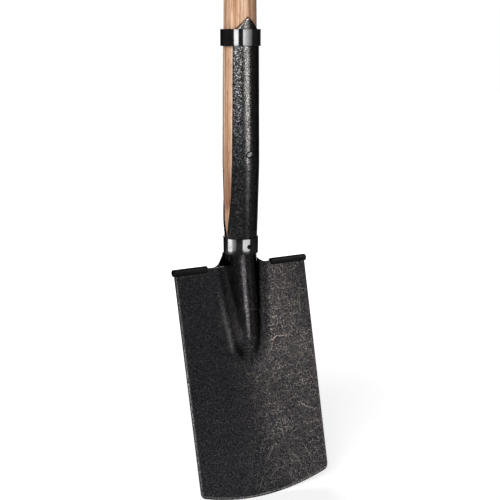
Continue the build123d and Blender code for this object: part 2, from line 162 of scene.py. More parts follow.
def eased(distance, depth, reach):
    """Rounding of an edge: the depth at the edge itself, falling by a square to nothing at the reach."""
    return depth * np.clip(1 - distance / reach, 0, 1) ** 2


def ridge(offset, width):
    """Bell curve that is 1 where the offset is 0."""
    return np.exp(-((offset / width) ** 2))


def full_turn(count):
    """Angles evenly round a circle."""
    return np.linspace(0, 2 * math.pi, count, endpoint=False)


def raised(height):
    """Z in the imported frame, in metres, of a height above the tread line."""
    return (height - CLIP_HEIGHT) * MM


# Forms shared by several pieces

def strap_radius(height):
    """Outer radius of the straps: a slow cone above the belly and a quicker one below it."""
    above = (TIP_RADIUS - BELLY_RADIUS) * (height - BELLY_HEIGHT) / (TIP_HEIGHT - BELLY_HEIGHT)
    below = (FOOT_RADIUS - BELLY_RADIUS) * (BELLY_HEIGHT - height) / (BELLY_HEIGHT - FOOT_HEIGHT)
    return BELLY_RADIUS + np.where(height > BELLY_HEIGHT, above, below)


def strap_gauge(height):
    """Thickness of the straps, growing from the root over foot and belly to the tip."""
    heights = [ROOT_HEIGHT, FOOT_HEIGHT, BELLY_HEIGHT, TIP_HEIGHT]
    return np.interp(height, heights, [ROOT_GAUGE, FOOT_GAUGE, STRAP_GAUGE, TIP_GAUGE])


def bulge(x, rise, crown, foot):
    """Pressed section: a crown arc of radius crown runs into a reversed arc and dies out at its foot."""
    rise, foot = np.maximum(rise, 1e-6), np.maximum(foot, 1e-6)
    spread = (foot**2 + rise**2) / (2 * rise)
    hollow = np.maximum(spread - crown, 0)
    across = np.minimum(np.abs(x), foot)
    crown_part = rise - crown + np.sqrt(np.maximum(crown**2 - across**2, 0))
    hollow_part = hollow - np.sqrt(np.maximum(hollow**2 - (foot - across) ** 2, 0))
    return np.where(across < foot * crown / spread, crown_part, hollow_part)


def gauge(slope):
    """Thickness of the blade sheet, thinning evenly to its cutting edge."""
    return BLADE_GAUGE + (EDGE_GAUGE - BLADE_GAUGE) * np.maximum(slope, 0) / BLADE_LENGTH


def dish(x, slope):
    """Depth of the blade's hollow, growing with the square of the distance down the slope."""
    return BLADE_HOLLOW * (np.maximum(slope, 0) / BLADE_LENGTH) ** 2 * (1 - (2 * x / TOP_WIDTH) ** 2)


def frog_shares(slope):
    """Distance down the frog as a share of its body, and the share of its nose that is passed."""
    share = np.clip(slope, 0, FROG_LENGTH) / FROG_BODY_LENGTH
    return share, np.clip((slope - FROG_BODY_LENGTH) / FROG_NOSE_LENGTH, 0, 1)


def frog_foot(slope):
    """Half width of the frog at its foot: an even taper, closed over the nose in an ellipse."""
    share, nose = frog_shares(slope)
    return (FROG_HALF + (FROG_NOSE_HALF - FROG_HALF) * share) * np.sqrt(1 - nose**2)


def frog_level(x, slope, inset):
    """Rise of the frog's mid surface. Its crest follows the strap's line above the tread line, turns over a
    hyperbola into an even fall and rounds off over the nose."""
    radius, low_radius = strap_radius(0.0), strap_radius(-1.0)
    top = (radius - SET_FORWARD) / COS_CANT - BLADE_GAUGE / 2 + FROG_STEP
    fall = (top - FROG_NOSE_RISE) / FROG_BODY_LENGTH
    steepening = math.tan(CANT) + (radius - low_radius) / COS_CANT - fall
    crest = top - fall * slope + steepening * (np.hypot(slope, FROG_TURN) - slope) / 2
    share, nose = frog_shares(slope)
    crown = radius + (FROG_NOSE_RADIUS - radius) * share
    return bulge(x, crest * (1 - nose**3) ** 2, crown - inset, frog_foot(slope))


def neck_level(x, slope, inset):
    """Rise of the front strap's outside over the blade plane, where it runs down into the frog."""
    radius = strap_radius(-slope) - inset
    depth = np.sqrt(np.maximum(radius**2 - np.minimum(np.abs(x), radius) ** 2, 0))
    return (depth - SET_FORWARD - slope * SIN_CANT) / COS_CANT


def neck_share(x, slope, across):
    """How far the forging follows the neck: wholly above the blend and near the middle, and then less."""
    return (1 - smooth_step(*NECK_BLEND, slope)) * (1 - smooth_step(*across, np.abs(x)))


def blade_front(x, slope):
    """Front of the forging: the dished sheet with its frog, drawn over to the strap at the neck."""
    sheet = gauge(slope) / 2 + frog_level(x, slope, 0.0) - dish(x, slope)
    return sheet + (neck_level(x, slope, 0.0) + NECK_PROUD - sheet) * neck_share(x, slope, NECK_FRONT)


def blade_rear(x, slope):
    """Rear of the forging, a sheet's thickness behind the front along the pressed section."""
    sheet = -gauge(slope) / 2 + frog_level(x, slope, BLADE_GAUGE) - dish(x, slope)
    return sheet + (neck_level(x, slope, FOOT_GAUGE) - sheet) * neck_share(x, slope, NECK_REAR)


def tongue_level(x, slope, inset):
    """Depth of the tongue's hollow behind the blade: in line with the rear strap, flat at its end."""
    radius = strap_radius(0.0)
    seat = BLADE_GAUGE / 2 + WELD_GAP + STRAP_GAUGE - FROG_STEP
    crest = (radius + SET_FORWARD + np.minimum(slope, 0) * SIN_CANT) / COS_CANT - seat
    share = np.clip(slope / TONGUE_BULGE_LENGTH, 0, 1)
    depth = crest * (1 - share)
    foot = np.sqrt(depth * (2 * TONGUE_SPREAD - depth))
    return bulge(x, depth, radius * (1 - share / 2) - inset, foot)


def on_blade(x, slope, level):
    """Points from blade coordinates: across, down the slope, and out of the plane to the front."""
    x, slope, level = np.broadcast_arrays(x, slope, level)
    y = -SET_FORWARD - slope * SIN_CANT - level * COS_CANT
    return np.stack([x, y, -slope * COS_CANT + level * SIN_CANT], axis=-1)


def on_shaft(radius, angle, height):
    """Points round the shaft's axis; angle 0 looks to the front and grows towards +X."""
    radius, angle, height = np.broadcast_arrays(radius, angle, height)
    return np.stack([radius * np.sin(angle), -radius * np.cos(angle), height], axis=-1)


def edge_slope(x):
    """Slope distance of the cutting edge at x: a bowed arc, with a quarter round at each corner."""
    half = EDGE_WIDTH / 2
    bow = (half**2 + EDGE_SAGITTA**2) / (2 * EDGE_SAGITTA)
    arc = BLADE_LENGTH - bow + np.sqrt(bow**2 - np.minimum(np.abs(x), half) ** 2)
    turn = np.clip((np.abs(x) - half + CORNER_RADIUS) / CORNER_RADIUS, 0, 1)
    return arc - CORNER_RADIUS * (1 - np.sqrt(1 - turn**2) - CORNER_LEAN * turn * (1 - turn))


# Mesh making

def grid_faces(rows, columns, closed=False):
    """Quads of a grid of rows by columns, numbered row by row; closed joins the last column to the first."""
    numbers = np.arange(rows * columns).reshape(rows, columns)
    following = np.roll(numbers, -1, axis=1)
    last = columns if closed else columns - 1
    quads = [numbers[:-1, :last], following[:-1, :last], following[1:, :last], numbers[1:, :last]]
    return np.stack(quads, axis=-1).reshape(-1, 4)


def merged(points):
    """Which points stay when those that coincide to a micrometre become one, and each point's new number."""
    keys = np.round(points * 1000).astype(np.int64)
    _, first, index = np.unique(keys, axis=0, return_index=True, return_inverse=True)
    return first, index.reshape(-1)


def outward(points, faces):
    """Faces of a closed shell, turned over if the tetrahedra from the origin add up to a negative volume."""
    a, b, c, d = (points[faces[:, corner]] for corner in range(4))
    volume = np.sum(a * (np.cross(b, c) + np.cross(c, d)))
    return points, faces if volume > 0 else faces[:, ::-1]


def weld(points, faces):
    """Closed shell from points of which those that coincide are merged."""
    first, index = merged(points)
    return outward(points[first], index[faces])


def shell(front, rear, faces):
    """Closed wall between two matched surfaces: the front, the rear turned over, and a strip along
    each free edge, which is an edge that only one face uses."""
    count = len(front)
    edges = np.concatenate([faces[:, [i, (i + 1) % 4]] for i in range(4)])
    _, number, used = np.unique(np.sort(edges, axis=1), axis=0, return_inverse=True, return_counts=True)
    free = edges[used[number.reshape(-1)] == 1]
    sides = np.stack([free[:, 1], free[:, 0], free[:, 0] + count, free[:, 1] + count], axis=-1)
    return outward(np.concatenate([front, rear]), np.concatenate([faces, faces[:, ::-1] + count, sides]))


def sewn(front, rear, faces):
    """Closed wall between two matched surfaces, after points that coincide in the front are merged."""
    first, index = merged(front)
    return shell(front[first], rear[first], index[faces])


def joined(*parts):
    """Several pairs of points and faces as one."""
    points, faces = zip(*parts)
    starts = np.cumsum([0, *map(len, points)])
    return np.concatenate(points), np.concatenate([face + start for face, start in zip(faces, starts)])


def closed_wall(panels):
    """Wall through panels, each a grid of front points and a grid of rear points behind them. Panels that
    share their edge points are sewn together there."""
    fronts, rears = zip(*panels)
    front, faces = joined(*((grid.reshape(-1, 3), grid_faces(*grid.shape[:2])) for grid in fronts))
    return sewn(front, np.concatenate([grid.reshape(-1, 3) for grid in rears]), faces)


def turned(profile, segments):
    """Closed profile of (radius, height) points, carried once round the shaft's axis."""
    loop = np.concatenate([profile, profile[:1]])
    points = on_shaft(loop[:, :1], full_turn(segments)[None, :], loop[:, 1:])
    return weld(points.reshape(-1, 3), grid_faces(len(loop), segments, closed=True))


def edge_spaced(count, fine):
    """Shares from 0 to 1: even between the last fine distances, and fine towards both ends."""
    middle = np.linspace(fine[-1], 1 - fine[-1], count)
    return np.concatenate([fine[:-1], middle, 1 - np.asarray(fine[:-1])[::-1]])


def add_piece(name, form, material, node, marks=None):
    """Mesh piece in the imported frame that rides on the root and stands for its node. Each mark is a named
    array, one value a point, that the finish reads."""
    points, faces = form
    mesh = bpy.data.meshes.new(name)
    placed = (points - np.array([0.0, 0.0, CLIP_HEIGHT])) * MM
    corners = [list(dict.fromkeys(face)) for face in faces.tolist()]
    mesh.from_pydata(placed.tolist(), [], [face for face in corners if len(face) > 2])
    mesh.shade_smooth()
    mesh.set_sharp_from_angle(angle=SMOOTH_ANGLE)
    for mark, values in (marks or {}).items():
        mesh.attributes.new(mark, "FLOAT", "POINT").data.foreach_set("value", values.astype(np.float32))
    mesh.materials.append(material)
    piece = bpy.data.objects.new(name, mesh)
    bpy.context.scene.collection.objects.link(piece)
    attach(piece, "root")
    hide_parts(node)


# Materials

CLEAR = grey(1.0)
METAL_RIM = grey(0.46)  # tint of a dark metal's reflection at a grazing angle
# Layers of hairlines on the blade: cell in millimetres, share of empty cells, shift, strength and bend
HAIRLINES = (
    (5, 0.2, 1.7, 0.5, 0.12), (7, 0.25, 5.3, 0.5, 0.12), (11, 0.3, 2.9, 0.5, 0.15), (20, 0.35, 3.7, 0.6, 0.2),
    (34, 0.4, 8.1, 0.75, 0.3), (52, 0.4, 14.3, 0.9, 0.3), (46, 0.4, 21.9, 0.9, 0.3))
# Wood patterns: width across the grain and length along it in millimetres, and octaves
GRAIN = {"streak": (4.5, 180, 3.0), "line": (1.1, 120, 2.0), "pore": (1.2, 13, 1.0), "cloud": (60, 90, 2.0)}
PITH_PLACE, PITH_DRIFT = (31.0, 17.0, 12.0), 14.0
# Painted shade darkens one side of the shaft, growing between two distances from its axis; painted shade
# low between the straps, and the straps' polish and painted glints, change between two heights; pits
# with painted glints on the straps, and scratches with painted highlights on the blade, change between
# two distances across
RIGHT_SHADE_SIDE, RIGHT_SHADE_START, RIGHT_SHADE_FULL = math.radians(58.0), 10.0, 19.0
LOW_SHADE_FOOT, LOW_SHADE_TOP, CONTACT_SHADOW_WIDTH, CONTACT_SHADOW_DEPTH = 60.0, 200.0, 3.0, 4.0
DULL_HEIGHT, POLISHED_HEIGHT, PITS_AND_GLINT_START, PITS_AND_GLINT_FULL = 130.0, 220.0, -6.5, -10.5
SCRATCH_HIGHLIGHT_START, SCRATCH_HIGHLIGHT_FULL = -40.0, 25.0


def add_node(tree, kind, inputs=None, stops=(), **settings):
    """Adds a node, sets its attributes and colour stops, and fills or links the inputs that are given. A node
    given as an input is linked from its first output."""
    node = tree.nodes.new("ShaderNode" + kind)
    for key, value in settings.items():
        setattr(node, key, value)
    for position, _ in stops[1:-1]:
        node.color_ramp.elements.new(position)
    for index, (position, colour) in enumerate(stops):
        node.color_ramp.elements[index].position = position
        node.color_ramp.elements[index].color = colour
    for key, value in (inputs or {}).items():
        if isinstance(value, bpy.types.Node):
            value = value.outputs[0]
        if isinstance(value, bpy.types.NodeSocket):
            tree.links.new(value, node.inputs[key])
        else:
            node.inputs[key].default_value = value
    return node


def empty_tree(owner):
    """Clears the nodes of a material or world, and gives what adds nodes to it."""
    owner.use_nodes = True
    owner.node_tree.nodes.clear()
    return partial(add_node, owner.node_tree)


def new_material(name):
    """Empty material, what adds nodes to it, and the Object coordinates that its patterns read."""
    material = bpy.data.materials.new(name)
    add = empty_tree(material)
    return material, add, add("TexCoord").outputs["Object"]


def finish_with(add, **inputs):
    """Closes a material with one principled shader."""
    shader = add("BsdfPrincipled", {key.replace("_", " "): value for key, value in inputs.items()})
    add("OutputMaterial", {0: shader})


def noise_fields(add, place, **fields):
    """Noise by name. Each field is (size, detail): the size of its grain in millimetres along X, Y and Z,
    from which the scale of its Object coordinates follows, and its octaves."""
    noises = {}
    for name, (size, detail) in fields.items():
        at = add("Mapping", {0: place, "Scale": tuple(1 / (length * MM) for length in size)})
        noises[name] = add("TexNoise", {"Vector": at, "Scale": 1.0, "Detail": detail, "Roughness": 0.6})
    return noises


def hairlines(add, place, width, cell, rarity, shift, strongest, bend):
    """Scratches over the front view. Each Voronoi cell, about cell millimetres wide, may have one slightly
    bent line at a random angle through its centre, with soft ends and a random strength up to the strongest;
    rarity is the share of cells without one, and bend is a share of the cell. The lines are wider than real
    ones, which would be too fine to show."""
    scale = 1 / (cell * MM)
    laid = {"Rotation": (-math.pi / 2, 0.0, 0.0), "Location": (shift, -shift, 0.0), "Scale": (scale,) * 3}
    flat = add("Mapping", {0: place, **laid})
    sway = add("TexNoise", {"Vector": flat, "Scale": 1.9, "Detail": 2.0}).outputs[1]
    flat = add("VectorMath", {0: sway, 1: (bend, bend, 0.0), 2: flat}, operation="MULTIPLY_ADD")
    cells = add("TexVoronoi", {"Vector": flat, "Scale": 1.0}, voronoi_dimensions="2D")
    away = add("VectorMath", {0: flat, 1: cells.outputs["Position"]}, operation="SUBTRACT")
    draw = add("SeparateXYZ", {0: cells.outputs["Color"]})
    angle = add("Math", {0: draw.outputs[0], 1: 2 * math.pi}, operation="MULTIPLY")
    line = add("VectorRotate", {"Vector": away, "Angle": angle}, rotation_type="Z_AXIS")
    line = add("VectorMath", {0: line}, operation="ABSOLUTE")
    line = add("SeparateXYZ", {0: line})
    thin = add("MapRange", {0: line.outputs[1], 1: 0.0, 2: width / MM / cell, 3: 1.0, 4: 0.0})
    ends = add("MapRange", {0: line.outputs[0], 1: 0.1, 2: 0.5, 3: 1.0, 4: 0.0})
    line = add("Math", {0: thin, 1: ends}, operation="MULTIPLY")
    strength = add("MapRange", {0: draw.outputs[1], 1: rarity, 2: 1.0, 3: 0.0, 4: strongest})
    return add("Math", {0: line, 1: strength}, operation="MULTIPLY")


def bare_wear_and_highlight(add, tone, bare, field, *patches):
    """A tone turned to bare metal where the piece's mark of wear and painted highlight says, in patches of a
    noise field: the two noise levels between which the bare metal grows, and its least and most."""
    edge = add("Attribute", attribute_name="wear_and_highlight").outputs["Fac"]
    patchy = add("MapRange", {0: field, **dict(enumerate(patches, 1))})
    edge = add("Math", {0: edge, 1: patchy}, operation="MULTIPLY")
    return add("Mix", {0: edge, 6: tone, 7: bare}, data_type="RGBA").outputs[2]


def shaft_painted_shade(add, place, streak):
    """Painted shade on the shaft, each a share, a field and its colour stops: the right side darkened as if
    it lay away from the light, darker and redder low between the straps where they shade the wood, and a dark
    line of painted contact shadow round the front strap's gable."""
    across, depth, height = add("SeparateXYZ", {0: place}).outputs
    # Painted shade: the shaft's right side is darkened as if it lay away from the light.
    towards = (math.sin(RIGHT_SHADE_SIDE), -math.cos(RIGHT_SHADE_SIDE), 0.0)
    right_shade = add("VectorMath", {0: place, 1: towards}, operation="DOT_PRODUCT").outputs["Value"]
    right_shade = add("MapRange", {0: right_shade, 1: RIGHT_SHADE_START * MM, 2: RIGHT_SHADE_FULL * MM})
    # Painted shade: darker and redder low down between the straps, where they shade the wood.
    low_shade = add("MapRange", {0: height, 1: raised(LOW_SHADE_FOOT), 2: raised(LOW_SHADE_TOP)})
    low_shade = add("Math", {0: streak, 1: 0.12, 2: low_shade}, operation="MULTIPLY_ADD")
    # Painted contact shadow: a dark line on the wood along both slopes of the front strap's gable.
    falls = []
    for side in (-1, 1):
        fall = GABLE_HEIGHT / (FRONT_TOP_HALF + GABLE_LEAN * side) * side
        falls.append(add("Math", {0: across, 1: fall, 2: fall * GABLE_LEAN * MM}, operation="MULTIPLY_ADD"))
    fall = add("Math", dict(enumerate(falls)), operation="MAXIMUM")
    over = add("Math", {0: height, 1: fall}, operation="ADD")
    over = add("Math", {0: over, 1: raised(TIP_HEIGHT)}, operation="SUBTRACT")
    over = add("Math", {0: over}, operation="ABSOLUTE")
    over = add("MapRange", {0: over, 1: 0.0, 2: CONTACT_SHADOW_WIDTH * MM})
    behind = add("MapRange", {0: depth, 1: -CONTACT_SHADOW_DEPTH * MM, 2: 0.0})
    over = add("Math", {0: over, 1: behind}, operation="MAXIMUM")
    low_shade_tints = [(0.1, "#F8F1EF"), (0.17, "#BFADA6"), (0.36, "#C5B6AD"), (0.66, "#EFE7E3"), (0.95, "#FFFFFF")]
    return [
        (1.0, right_shade, [(0.0, CLEAR), (1.0, linear("#C4B5AA"))]),
        (1.0, low_shade, [(position, linear(tint)) for position, tint in low_shade_tints]),
        (1.0, over, [(0.3, linear("#6F594B")), (1.0, CLEAR)]),
    ]


def waxed_wood(name, ring_spacing, light, middle, dark, upright=True, with_painted_shade=False):
    """Ring-porous wood, turned and waxed. Growth rings round a pith beside the piece give straight dark
    lines along it and arcs on its ends, with soft streaks and short pore dashes between them. Where painted
    shade is asked for, the wood is shaded on top of that. A wave of scale s repeats every 2 pi / 20 s."""
    material, add, place = new_material(name)
    fields = {}
    for field, (thin, long, detail) in GRAIN.items():
        fields[field] = ((thin, thin, long) if upright else (long, thin, thin), detail)
    fields = noise_fields(add, place, **fields)
    stretch = (1 / MM, 1 / MM, PITH_DRIFT) if upright else (PITH_DRIFT, 1 / MM, 1 / MM)
    pith = add("Mapping", {0: place, "Location": PITH_PLACE, "Scale": stretch})
    waver = {"Distortion": 5.0, "Detail": 2.0, "Detail Scale": 0.25}
    rings = {"Vector": pith, "Scale": 2 * math.pi / 20 / (ring_spacing / MM), **waver}
    saw = {"wave_type": "RINGS", "rings_direction": "Z" if upright else "X", "wave_profile": "SAW"}
    rings = add("TexWave", rings, **saw).outputs[1]
    shades = [
        (0.9, rings, [(0.0, grey(0.97)), (0.62, CLEAR), (0.9, linear("#DAC8B8")), (1.0, grey(0.85))]),
        (0.95, fields["line"], [(0.38, linear("#C5B8AD")), (0.48, CLEAR), (0.66, grey(1.12))]),
        (0.85, fields["pore"], [(0.3, linear("#CEBFB1")), (0.45, CLEAR)]),
    ]
    if with_painted_shade:
        shades += shaft_painted_shade(add, place, fields["streak"])
    colour = add("ValToRGB", {0: fields["streak"]}, [(0.3, dark), (0.48, middle), (0.68, light)])
    for share, field, stops in shades:
        layer = {0: share, 6: colour, 7: add("ValToRGB", {0: field}, stops)}
        colour = add("Mix", layer, data_type="RGBA", blend_type="MULTIPLY").outputs[2]
    matt = add("ValToRGB", {0: fields["cloud"]}, [(0.3, grey(0.42)), (0.7, grey(0.58))])
    relief = add("Bump", {"Height": fields["pore"], "Strength": 0.3, "Distance": 0.15 * MM})
    finish_with(add, Base_Color=colour, Roughness=matt, Specular_IOR_Level=0.12, Normal=relief)
    return material


def blade_steel(look):
    """Carbon steel, forged and blackened: a dark satin metal with a pitted skin, fine bright specks and
    hairline scratches, both strengthened to the right as a painted highlight, and bare bright steel along its
    edges, partly wear and partly painted highlight."""
    material, add, place = new_material("blackened carbon steel")
    sizes = {"grain": ((1.4, 3.0, 1.4), 2.0), "glint": ((1.1, 3.0, 1.1), 0.0)}
    fields = noise_fields(add, place, **sizes, cloud=((24, 40, 30), 3.0), patch=((60, 60, 60), 2.0))
    tone = [(0.34, look.steel_dark), (0.52, look.steel_middle), (0.68, look.steel_light)]
    tone = add("ValToRGB", {0: fields["grain"]}, tone)
    lines = add("MapRange", {0: fields["glint"], 1: 0.67, 2: 0.82, 3: 0.0, 4: 0.8})
    for layer in HAIRLINES:
        scratches = hairlines(add, place, look.scratch_width, *layer)
        lines = add("Math", {0: lines, 1: scratches}, operation="MAXIMUM")
    fading = add("ValToRGB", {0: fields["cloud"]}, [(0.34, grey(0.35)), (0.66, grey(0.95))])
    # Painted highlight: the scratches and bright specks are strengthened towards the right half, where the
    # blade mirrors the panel light, and kept weak on the left.
    across = add("SeparateXYZ", {0: place}).outputs[0]
    across = {0: across, 1: SCRATCH_HIGHLIGHT_START * MM, 2: SCRATCH_HIGHLIGHT_FULL * MM, 3: 0.2, 4: 1.0}
    across = add("MapRange", across, interpolation_type="SMOOTHSTEP")
    for share in (fading, across):
        lines = add("Math", {0: lines, 1: share}, operation="MULTIPLY")
    worn = add("Mix", {0: lines, 6: tone, 7: look.steel_scratch}, data_type="RGBA").outputs[2]
    scale = add("Attribute", attribute_name="blacked").outputs["Fac"]
    scale = {0: scale, 6: worn, 7: look.steel_scale}
    worn = add("Mix", scale, data_type="RGBA", blend_type="MULTIPLY").outputs[2]
    # Bare steel where the sheet is marked: worn edges and painted highlights.
    bare = bare_wear_and_highlight(add, worn, look.steel_bare_and_highlight, fields["grain"], 0.42, 0.6, 0.2, 1.5)
    satin = add("ValToRGB", {0: fields["patch"]}, [(0.3, grey(0.18)), (0.7, grey(0.24))])
    relief = add("Bump", {"Height": fields["grain"], "Strength": 0.9, "Distance": 0.14 * MM})
    finish_with(add, Base_Color=bare, Metallic=1.0, Roughness=satin, Specular_Tint=METAL_RIM, Normal=relief)
    return material


def forge_black(look):
    """Steel under black forge scale, oiled: nearly black and rough from the hammer. Pits and specks of scale
    are lightened on its left side high up as a painted glint that fades downwards; hands keep the middle
    polished and oil dulls it down towards the blade."""
    material, add, place = new_material("forge-black steel")
    sizes = {"grit": ((1.7, 1.7, 1.9), 2.0), "fine": ((1.1, 1.1, 1.3), 1.0), "dent": ((7, 7, 12), 2.0)}
    fields = noise_fields(add, place, **sizes)
    across, _, height = add("SeparateXYZ", {0: place}).outputs
    polish = {0: height, 1: raised(DULL_HEIGHT), 2: raised(POLISHED_HEIGHT)}
    smooth = {"interpolation_type": "SMOOTHSTEP"}
    # Painted glint: bright scale specks are strongest on the left side and high up, where the strap mirrors
    # the left light, and fade downwards; the pits under them are real.
    pitted = add("MapRange", {0: across, 1: PITS_AND_GLINT_START * MM, 2: PITS_AND_GLINT_FULL * MM}, **smooth)
    high = add("MapRange", {**polish, 3: 0.5, 4: 1.0}, **smooth)
    pitted = add("Math", {0: pitted, 1: high}, operation="MULTIPLY")
    skin = add("ValToRGB", {0: fields["fine"]}, [(0.44, look.forge_dark), (0.64, look.forge_middle)])
    specks = [(0.43, look.forge_dark), (0.56, look.forge_middle), (0.7, look.forge_speck_and_glint)]
    specks = add("ValToRGB", {0: fields["grit"]}, specks)
    tone = add("Mix", {0: pitted, 6: skin, 7: specks}, data_type="RGBA").outputs[2]
    # Painted highlight: bare steel where the strap's gable chamfer and the rivet heads are marked.
    bare = bare_wear_and_highlight(add, tone, look.forge_bare_highlight, fields["fine"], 0.45, 0.56, 0.15, 1.0)
    gloss = add("MapRange", {**polish, 3: 0.21, 4: 0.2}, **smooth)
    gloss = add("Math", {0: fields["dent"], 1: 0.1, 2: gloss}, operation="MULTIPLY_ADD")
    pits = add("Math", {0: fields["grit"], 1: pitted}, operation="MULTIPLY")
    dents = add("Math", {0: fields["dent"], 1: 1.5, 2: pits}, operation="MULTIPLY_ADD")
    relief = add("Bump", {"Height": dents, "Strength": 0.7, "Distance": 0.2 * MM})
    finish_with(add, Base_Color=bare, Metallic=1.0, Roughness=gloss, Specular_Tint=METAL_RIM, Normal=relief)
    return material


def blued_steel(name, look, roughness, peel):
    """Drawn steel, polished and blued black: deep black with clear reflections, faint ripples and rub
    marks."""
    material, add, place = new_material(name)
    fields = noise_fields(add, place, peel=((3, 3, 3), 1.0), rub=((9, 9, 14), 3.0))
    tone = add("ValToRGB", {0: fields["rub"]}, [(0.35, look.blued), (0.75, look.blued_rubbed)])
    gloss = add("MapRange", {0: fields["rub"], 1: 0.3, 2: 0.8, 3: roughness, 4: roughness * 1.5})
    relief = add("Bump", {"Height": fields["peel"], "Strength": peel, "Distance": 0.1 * MM})
    finish_with(add, Base_Color=tone, Metallic=1.0, Roughness=gloss, Specular_Tint=METAL_RIM, Normal=relief)
    return material


def drawn_steel(look):
    """Drawn steel wire, cut and filed: a plain grey metal with fine file marks across its end."""
    material, add, place = new_material("drawn steel")
    fields = noise_fields(add, place, filed=((0.4, 4, 4), 2.0))
    tone = add("ValToRGB", {0: fields["filed"]}, [(0.3, look.pin_dark), (0.7, look.pin_light)])
    relief = add("Bump", {"Height": fields["filed"], "Strength": 0.3, "Distance": 0.1 * MM})
    finish_with(add, Base_Color=tone, Metallic=1.0, Roughness=0.42, Normal=relief)
    return material


# Settings that a user would change

COLOUR = {"subtype": "COLOR", "size": 4, "min": 0, "max": 1}
LENGTH = {"subtype": "DISTANCE", "unit": "LENGTH"}


class SpadeFinish(PropertyGroup):
    """Colours and small sizes of the spade's finishes."""

    ash_light: FloatVectorProperty(
        name="Ash, light", description="Early wood between the grain lines",
        default=linear("#F8DABF"), **COLOUR)
    ash_middle: FloatVectorProperty(
        name="Ash, middle", description="Body of the wood", default=linear("#EDC6A8"), **COLOUR)
    ash_dark: FloatVectorProperty(
        name="Ash, dark", description="Darker streaks along the grain", default=linear("#CB9A75"), **COLOUR)
    wedge_light: FloatVectorProperty(
        name="Wedge, light", description="Oiled hardwood of the wedge", default=linear("#8A5A38"), **COLOUR)
    wedge_dark: FloatVectorProperty(
        name="Wedge, dark", description="Grain of the wedge", default=linear("#5E3A22"), **COLOUR)
    steel_dark: FloatVectorProperty(
        name="Blade, dark", description="Pits of the blackened skin", default=linear("#111115"), **COLOUR)
    steel_middle: FloatVectorProperty(
        name="Blade, middle", description="Body of the blackened skin", default=linear("#1E1E22"), **COLOUR)
    steel_light: FloatVectorProperty(
        name="Blade, light", description="High spots of the blackened skin",
        default=linear("#3C3A38"), **COLOUR)
    steel_scratch: FloatVectorProperty(
        name="Blade, scratch", description="Steel in the hairline scratches",
        default=linear("#8E8A83"), **COLOUR)
    steel_scale: FloatVectorProperty(
        name="Blade, scale", description="Darkening by the forge scale on the frog",
        default=linear("#5E5E5E"), **COLOUR)
    # Bare steel of worn edges, also painted on as highlights along the sheet's left side, lip and frog foot.
    steel_bare_and_highlight: FloatVectorProperty(
        name="Blade, bare", description="Bright steel along the edges", default=linear("#8E8C8A"), **COLOUR)
    forge_dark: FloatVectorProperty(
        name="Straps, dark", description="Oiled forge scale", default=linear("#070707"), **COLOUR)
    forge_middle: FloatVectorProperty(
        name="Straps, middle", description="Thin scale on high spots", default=linear("#202020"), **COLOUR)
    # Partly real specks of scale and partly a painted glint on the strap's upper left side.
    forge_speck_and_glint: FloatVectorProperty(
        name="Straps, speck", description="Worn specks of bare scale", default=linear("#4C4E51"), **COLOUR)
    # Bare steel painted on as a highlight on the gable's left chamfer and on the rivet heads.
    forge_bare_highlight: FloatVectorProperty(
        name="Straps, bare", description="Rubbed steel along the strap's tip",
        default=linear("#C0BFBC"), **COLOUR)
    blued: FloatVectorProperty(
        name="Rings, blued", description="Blued steel of rings and treads",
        default=linear("#171717"), **COLOUR)
    blued_rubbed: FloatVectorProperty(
        name="Rings, rubbed", description="Rubbed bluing", default=linear("#1D1D1D"), **COLOUR)
    pin_dark: FloatVectorProperty(
        name="Pin, dark", description="File marks on the grip's pin", default=linear("#6E6C69"), **COLOUR)
    pin_light: FloatVectorProperty(
        name="Pin, light", description="Steel of the grip's pin", default=linear("#9B9894"), **COLOUR)
    growth_ring: FloatProperty(
        name="Growth rings", description="Spacing of the wood's growth rings",
        default=3.2 * MM, min=MM, **LENGTH)
    scratch_width: FloatProperty(
        name="Scratches", description="Width of the hairline scratches", default=0.5 * MM, min=0, **LENGTH)
    ring_round: FloatProperty(
        name="Ring edges", description="Rounding of the rings' edges", default=0.4 * MM, min=0, **LENGTH)


class SpadeStage(PropertyGroup):
    """Light levels of the studio."""

    ambient: FloatProperty(
        name="Ambient", description="Strength of the surround on matt surfaces", default=0.15, min=0, max=2)
    key_level: FloatProperty(
        name="Key", description="Radiance of the large soft light at the front left", default=6.2, min=0)
    fill_level: FloatProperty(
        name="Fill", description="Radiance of the weak light at the right", default=0.1, min=0)
    back_level: FloatProperty(
        name="Back", description="Radiance of the soft light behind", default=3.0, min=0)
    ring_level: FloatProperty(
        name="Ring strips", description="Radiance of the strips that the rings mirror", default=88.0, min=0)
    strap_level: FloatProperty(
        name="Strap strip", description="Radiance of the strip that the front strap mirrors",
        default=88.0, min=0)
    glint_level: FloatProperty(
        name="Glint strip", description="Radiance of the strip in the strap's left side", default=19.0, min=0)
    crest_level: FloatProperty(
        name="Crest strip", description="Radiance of the strip that the frog's crest mirrors",
        default=33.0, min=0)
    bounce_level: FloatProperty(
        name="Bounce", description="Radiance of the lit paper as the metal sees it", default=2.0, min=0)
    panel_level: FloatProperty(
        name="Blade panel", description="Radiance of the panel before the blade's right half",
        default=3.25, min=0)
    tread_level: FloatProperty(
        name="Tread light", description="Radiance of the light that the treads mirror", default=10.0, min=0)
    rear_level: FloatProperty(
        name="Rear strip", description="Radiance of the strip behind", default=16.0, min=0)


# Forms and operators

